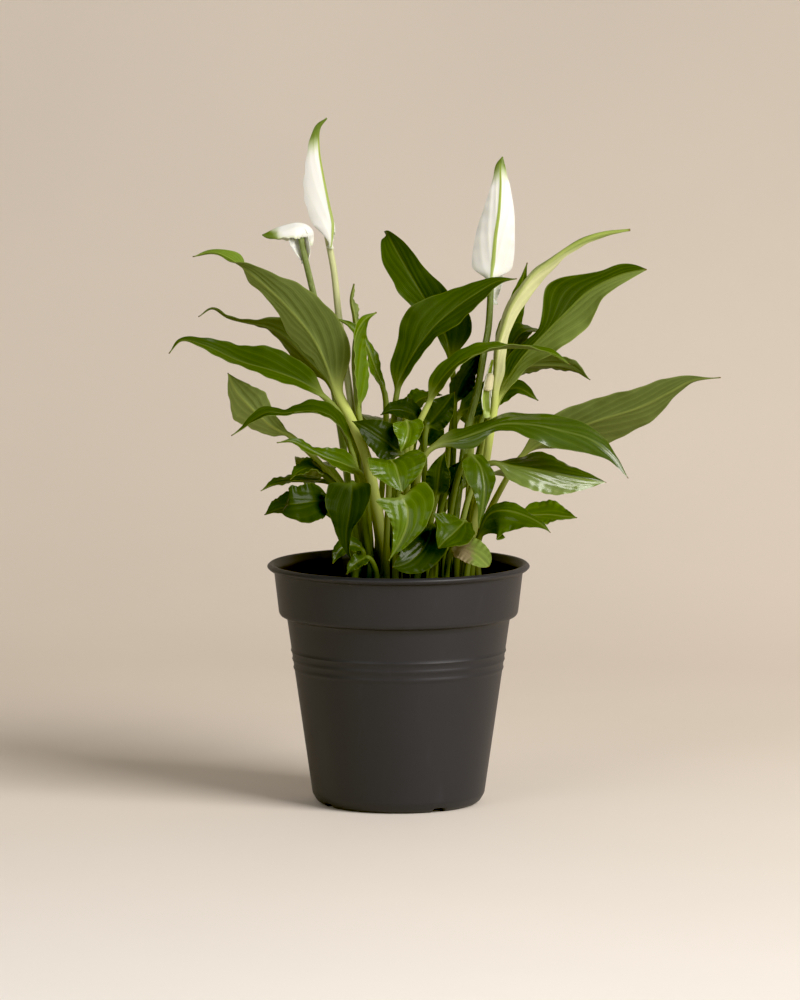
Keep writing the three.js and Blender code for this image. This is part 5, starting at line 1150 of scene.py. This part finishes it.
class LILY_OT_soil(Operator):
    """Fill the pot with lumpy soil and scatter crumbs on it"""

    bl_idname = "lily.soil"
    bl_label = "Soil"

    def execute(self, context):
        settings = context.scene.lily_soil
        heights = np.array([FLOOR_TOP + 2, BODY_TOP, COLLAR_FOOT + 1])
        edge = inside_radius(SOIL_TOP) - GAP
        top = edge * np.linspace(1, 0, SOIL_RINGS)
        profile = np.vstack([
            [(0, FLOOR_TOP + GAP), (inside_radius(FLOOR_TOP) - FLOOR_BEVEL - GAP, FLOOR_TOP + GAP)],
            np.stack([inside_radius(heights) - GAP, heights], 1),
            np.stack([top, np.full(SOIL_RINGS, SOIL_TOP)], 1),
        ])
        draw = np.random.default_rng(SEED)
        swells = np.stack([draw.uniform(*reach, GRAIN_WAVES) for reach in GRAIN_RANGES], 1)

        def rise(x, y):
            """The soil's height over its level: a low mound, broad lumps, and many small crossing waves."""
            out = np.hypot(x, y) / edge
            crossing = np.sin(LUMP_PITCH[0] * x + LUMP_PHASE) * np.cos(LUMP_PITCH[1] * y)
            slanting = SLANT_SHARE * np.sin(SLANT_PITCH[0] * (x + y)) * np.sin(SLANT_PITCH[1] * (x - y))
            fine = sum(np.sin(a * x + b * y + c) for a, b, c in swells) / len(swells) ** 0.5
            rough = (SOIL_LUMP * (crossing + slanting) + SOIL_GRAIN * fine) * (1 - out ** 6)
            return SOIL_MOUND * (1 - out ** 2) * 0.5 + rough

        def shift(rings, angle):
            """Raises the rings of the upper face."""
            high = rings[..., 2] > SOIL_TOP - 0.5
            rings[..., 2] += np.where(high, rise(rings[..., 0], rings[..., 1]), 0)
            return rings

        soil = revolve_piece("potting_soil", profile, SOIL_SIDES, soil_material(settings), shift, SOIL_EDGE)
        bpy.ops.mesh.primitive_ico_sphere_add(subdivisions=1, radius=1.0)
        ball = context.object
        shape = np.empty((len(ball.data.vertices), 3), np.float32)
        ball.data.vertices.foreach_get("co", shape.ravel())
        faces = np.empty((len(ball.data.polygons), 3), np.int32)
        ball.data.loops.foreach_get("vertex_index", faces.ravel())
        bpy.data.objects.remove(ball)
        count = settings.crumbs
        far = edge * CRUMB_SPREAD * np.sqrt(draw.uniform(0, 1, count))
        turn = draw.uniform(0, 2 * math.pi, count)
        x, y = far * np.cos(turn), far * np.sin(turn)
        centre = np.stack([x, y, SOIL_TOP + rise(x, y) + CRUMB_LIFT], 1)
        reach = draw.uniform(*CRUMB_REACH, (count, 1, 1)) * draw.uniform(*CRUMB_FLATNESS, (count, 1, 3))
        knobs = shape[None] * reach * draw.uniform(*CRUMB_KNOBS, (count, len(shape), 1))
        points = (centre[:, None] + knobs).reshape(-1, 3)
        triangles = (faces[None] + (np.arange(count) * len(shape))[:, None, None]).reshape(-1, 3)
        crumbs = make_piece("soil_crumbs", points, np.zeros((0, 4), int), triangles, soil.data.materials[0])
        with context.temp_override(active_object=soil, selected_editable_objects=[soil, crumbs]):
            bpy.ops.object.join()
        settle(soil, "soil")
        return {"FINISHED"}


class LILY_OT_leaves(Operator):
    """Grow every leaf over its CAD node"""

    bl_idname = "lily.leaves"
    bl_label = "Leaves"

    def execute(self, context):
        settings = context.scene.lily_leaves
        greens = settings.dark, settings.bright, settings.under_dark, settings.under_bright
        usual = leaf_material("leaf_green", settings, greens), "leaf"
        special = {
            "new_rolled": (leaf_material("leaf_new", settings, NEW_GREENS, greened=0.85), "new_leaf"),
            "old_yellow": (leaf_material("leaf_old", settings, OLD_GREENS, decayed=0.9), "old_leaf"),
        }
        size = settings.rows, settings.columns
        for name, root, rise, blade, faces, width, fold, others, tones in LEAVES:
            shape = {"width": width, "fold": fold, **others}
            leaf = {"root": root, "rise": rise, "blade": blade, "faces": faces, "shape": shape}
            material, slot = special.get(name, usual)
            piece = leaf_piece(f"blade_{name}", leaf, material, size, tones)
            settle(piece, f"leaf_{name}")
        return {"FINISHED"}


def stalk_radius(radius):
    """A flower stalk's radius: a little thicker at its foot, with faint ribs along it."""
    def at(share, angle):
        taper = 1 + STALK_FLARE - STALK_FLARE * share
        return radius * taper * (1 + STALK_RIB * np.cos(STALK_RIBS * angle))
    return at


def knobbly_radius(radius):
    """A spadix's radius: a blunt rod with a diamond lattice of knobs, where two sets of helices cross."""
    def at(share, angle):
        blunt = np.sqrt(np.maximum(SPADIX_END, 1 - (2 * share - 1) ** SPADIX_BLUNTNESS))
        body = radius * blunt * (1 - SPADIX_TAPER * share)
        first = np.cos(KNOB_HELICES * angle + KNOB_TURNS * math.pi * share)
        second = np.cos(KNOB_HELICES * angle - KNOB_TURNS * math.pi * share)
        return body * (1 - KNOB_DEPTH + KNOB_DEPTH * np.sqrt(np.abs(first * second)))
    return at


def spathe_piece(name, bloom, material, size, tones, ribbed):
    """A spathe or a flap of one: a blade that has no stalk of its own."""
    leaf = {**bloom, "root": None, "shape": {**SPATHE_DEFAULTS, **bloom["shape"]}}
    return leaf_piece(name, leaf, material, size, tones, ribbed)


def spadix_piece(name, bloom, material, size):
    """A spadix along its bloom's core."""
    return rod_piece(name, place(bloom["core"]), knobbly_radius(bloom["core_radius"]), size, material)


class LILY_OT_blooms(Operator):
    """Grow the flower stalks, spathes and spadices"""

    bl_idname = "lily.blooms"
    bl_label = "Blooms"

    def execute(self, context):
        settings = context.scene.lily_blooms
        white = spathe_material(settings)
        cream = spadix_material(settings)
        for bloom in BLOOMS:
            name = bloom["name"]
            core = rooted(bloom["root"], bloom["rise"])
            green = stalk_material(f"stalk_green_{name}", settings, bloom["pale"])
            stalk = rod_piece(f"stalk_{name}", core, stalk_radius(bloom["radius"]), STALK_GRID, green)
            settle(stalk, f"bloom_{name}_stalk")
            spathe = spathe_piece(f"spathe_{name}", bloom, white, SPATHE_GRID, bloom["tones"], SPATHE_RIBBED)
            settle(spathe, f"bloom_{name}_spathe")
            if bloom["core"]:
                spadix = spadix_piece(f"spadix_{name}", bloom, cream, SPADIX_GRID)
                settle(spadix, f"bloom_{name}_spadix")
        young = spathe_piece("spathe_young", YOUNG_BLOOM, white, YOUNG_SPATHE_GRID, YOUNG_BLOOM["tones"],
                             THIN_RIBBED)
        knob = spadix_piece("spadix_young", YOUNG_BLOOM, cream, YOUNG_SPADIX_GRID)
        settle(young, "bloom_young")
        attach(knob, "root")
        for name, blade, face, shape in FRILLS:
            flap = {"blade": blade, "faces": [face, face], "shape": shape}
            frill = spathe_piece(name, flap, white, FRILL_GRID, FRILL_TONES, THIN_RIBBED)
            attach(frill, "root")
        return {"FINISHED"}


class LILY_OT_stage(Operator):
    """Set up the floor, the lights and the camera"""

    bl_idname = "lily.stage"
    bl_label = "Stage"

    def execute(self, context):
        settings = context.scene.lily_stage
        scene = context.scene
        camera = bpy.data.objects.new("camera", bpy.data.cameras.new("camera"))
        camera.data.lens = LENS
        camera.data.sensor_width = SENSOR
        camera.data.clip_end = FARTHEST
        point_at(camera, EYE * MM, AIM * MM)
        scene.collection.objects.link(camera)
        scene.camera = camera

        look = Look("backdrop_paper")
        weave = look.noise(6.0, 5.0)
        # Painted light on the backdrop: the floor in front is paler and whiter, painted shade darkens it
        # further up and in the upper right corner, and its right side is brighter towards the back and darker
        # in front.
        east, north, height = look.parts(look.place())
        painted_front_light = 1 - north.ease(-0.9, 0.5)
        far = height.ease(0.0, 0.35)
        corner = (east + height).ease(0.2, 0.7)
        paper = look.mix(painted_front_light, settings.floor, settings.front)
        right = east.ease(0.0, 0.4)
        shade = 1.1 - 0.1 * far - 0.12 * corner + (0.06 - 0.24 * painted_front_light) * right + 0.06 * weave
        look.finish(Base_Color=look.tint(paper, shade), Roughness=0.9)
        # The sheet's faces point away from the plant, and those fronts are clear for views from behind
        inside = look.add("ShaderNodeNewGeometry", {}, {}, "Backfacing")
        clear = look.add("ShaderNodeBsdfTransparent", {}, {})
        surface = Term(look, look.shader.outputs["BSDF"])
        seen = look.add("ShaderNodeMixShader", {}, {0: inside, 1: clear, 2: surface})
        look.connect(look.tree.nodes["Material Output"].inputs["Surface"], seen)
        turn = np.linspace(0, math.pi / 2, SHEET_ROWS)
        x = np.array([-SHEET_REACH, SHEET_REACH])
        rising = SHEET_BACK + SHEET_BEND * np.sin(turn)
        y = np.concatenate([[-SHEET_REACH], rising, [SHEET_BACK + SHEET_BEND]])
        z = np.concatenate([[0], SHEET_BEND - SHEET_BEND * np.cos(turn), [SHEET_REACH]])
        points = np.stack(np.broadcast_arrays(x[None, :], y[:, None], z[:, None]), -1).reshape(-1, 3)
        start = np.arange(len(y) - 1) * 2
        quads = np.stack([start, start + 1, start + 3, start + 2], -1)
        floor = make_piece("floor", points, quads, np.zeros((0, 3), int), look.material)

        add_light("fill", settings.fill, *FILL_LIGHT)
        add_light("key", settings.key, *KEY_LIGHT)
        world = bpy.data.worlds.new("studio")
        world.use_nodes = True
        background = world.node_tree.nodes["Background"]
        background.inputs["Color"].default_value = SKY_COLOUR
        background.inputs["Strength"].default_value = settings.sky
        scene.world = world
        scene.view_settings.view_transform = "Standard"
        scene.view_settings.look = "None"
        scene.view_settings.use_curve_mapping = True
        scene.view_settings.curve_mapping.black_level = settings.black
        scene.view_settings.curve_mapping.update()
        return {"FINISHED"}


def point_at(thing, eye, aim):
    """Stands a camera or light at eye, turned towards aim, in metres."""
    back = unit(np.asarray(eye, float) - np.asarray(aim, float))
    right = unit(np.cross((0, 0, 1), back))
    above = np.cross(back, right)
    matrix = np.eye(4)
    matrix[:3, :3] = np.stack([right, above, back], 1)
    matrix[:3, 3] = eye
    thing.matrix_world = Matrix(matrix.tolist())


def add_light(name, power, eye, size, colour):
    """A square soft light that faces the plant."""
    light = bpy.data.lights.new(name, "AREA")
    light.shape = "SQUARE"
    light.size = size
    light.energy = power
    light.color = colour
    lamp = bpy.data.objects.new(name, light)
    point_at(lamp, eye, LIGHT_AIM)
    bpy.context.scene.collection.objects.link(lamp)


OPERATORS = (LILY_OT_pot, LILY_OT_soil, LILY_OT_leaves, LILY_OT_blooms, LILY_OT_stage)
SETTINGS = {
    "lily_pot": LilyPot, "lily_soil": LilySoil, "lily_leaves": LilyLeaves, "lily_blooms": LilyBlooms,
    "lily_stage": LilyStage,
}


class LILY_PT_panel(Panel):
    """Lists the plant's pieces in the sidebar"""

    bl_idname = "LILY_PT_panel"
    bl_label = "Peace lily"
    bl_space_type = "VIEW_3D"
    bl_region_type = "UI"
    bl_category = "Peace lily"

    def draw(self, context):
        for operator, name in zip(OPERATORS, SETTINGS):
            box = self.layout.box()
            for field in SETTINGS[name].__annotations__:
                box.prop(getattr(context.scene, name), field)
            box.operator(operator.bl_idname)


def register():
    for group in SETTINGS.values():
        bpy.utils.register_class(group)
    for operator in (*OPERATORS, LILY_PT_panel):
        bpy.utils.register_class(operator)
    for name, group in SETTINGS.items():
        setattr(bpy.types.Scene, name, PointerProperty(type=group))


def unregister():
    for name in SETTINGS:
        delattr(bpy.types.Scene, name)
    for operator in (LILY_PT_panel, *reversed(OPERATORS)):
        bpy.utils.unregister_class(operator)
    for group in reversed(SETTINGS.values()):
        bpy.utils.unregister_class(group)


def main():
    register()
    bpy.ops.lily.pot()
    bpy.ops.lily.soil()
    bpy.ops.lily.leaves()
    bpy.ops.lily.blooms()
    bpy.ops.lily.stage()


if __name__ == "__main__":
    main()
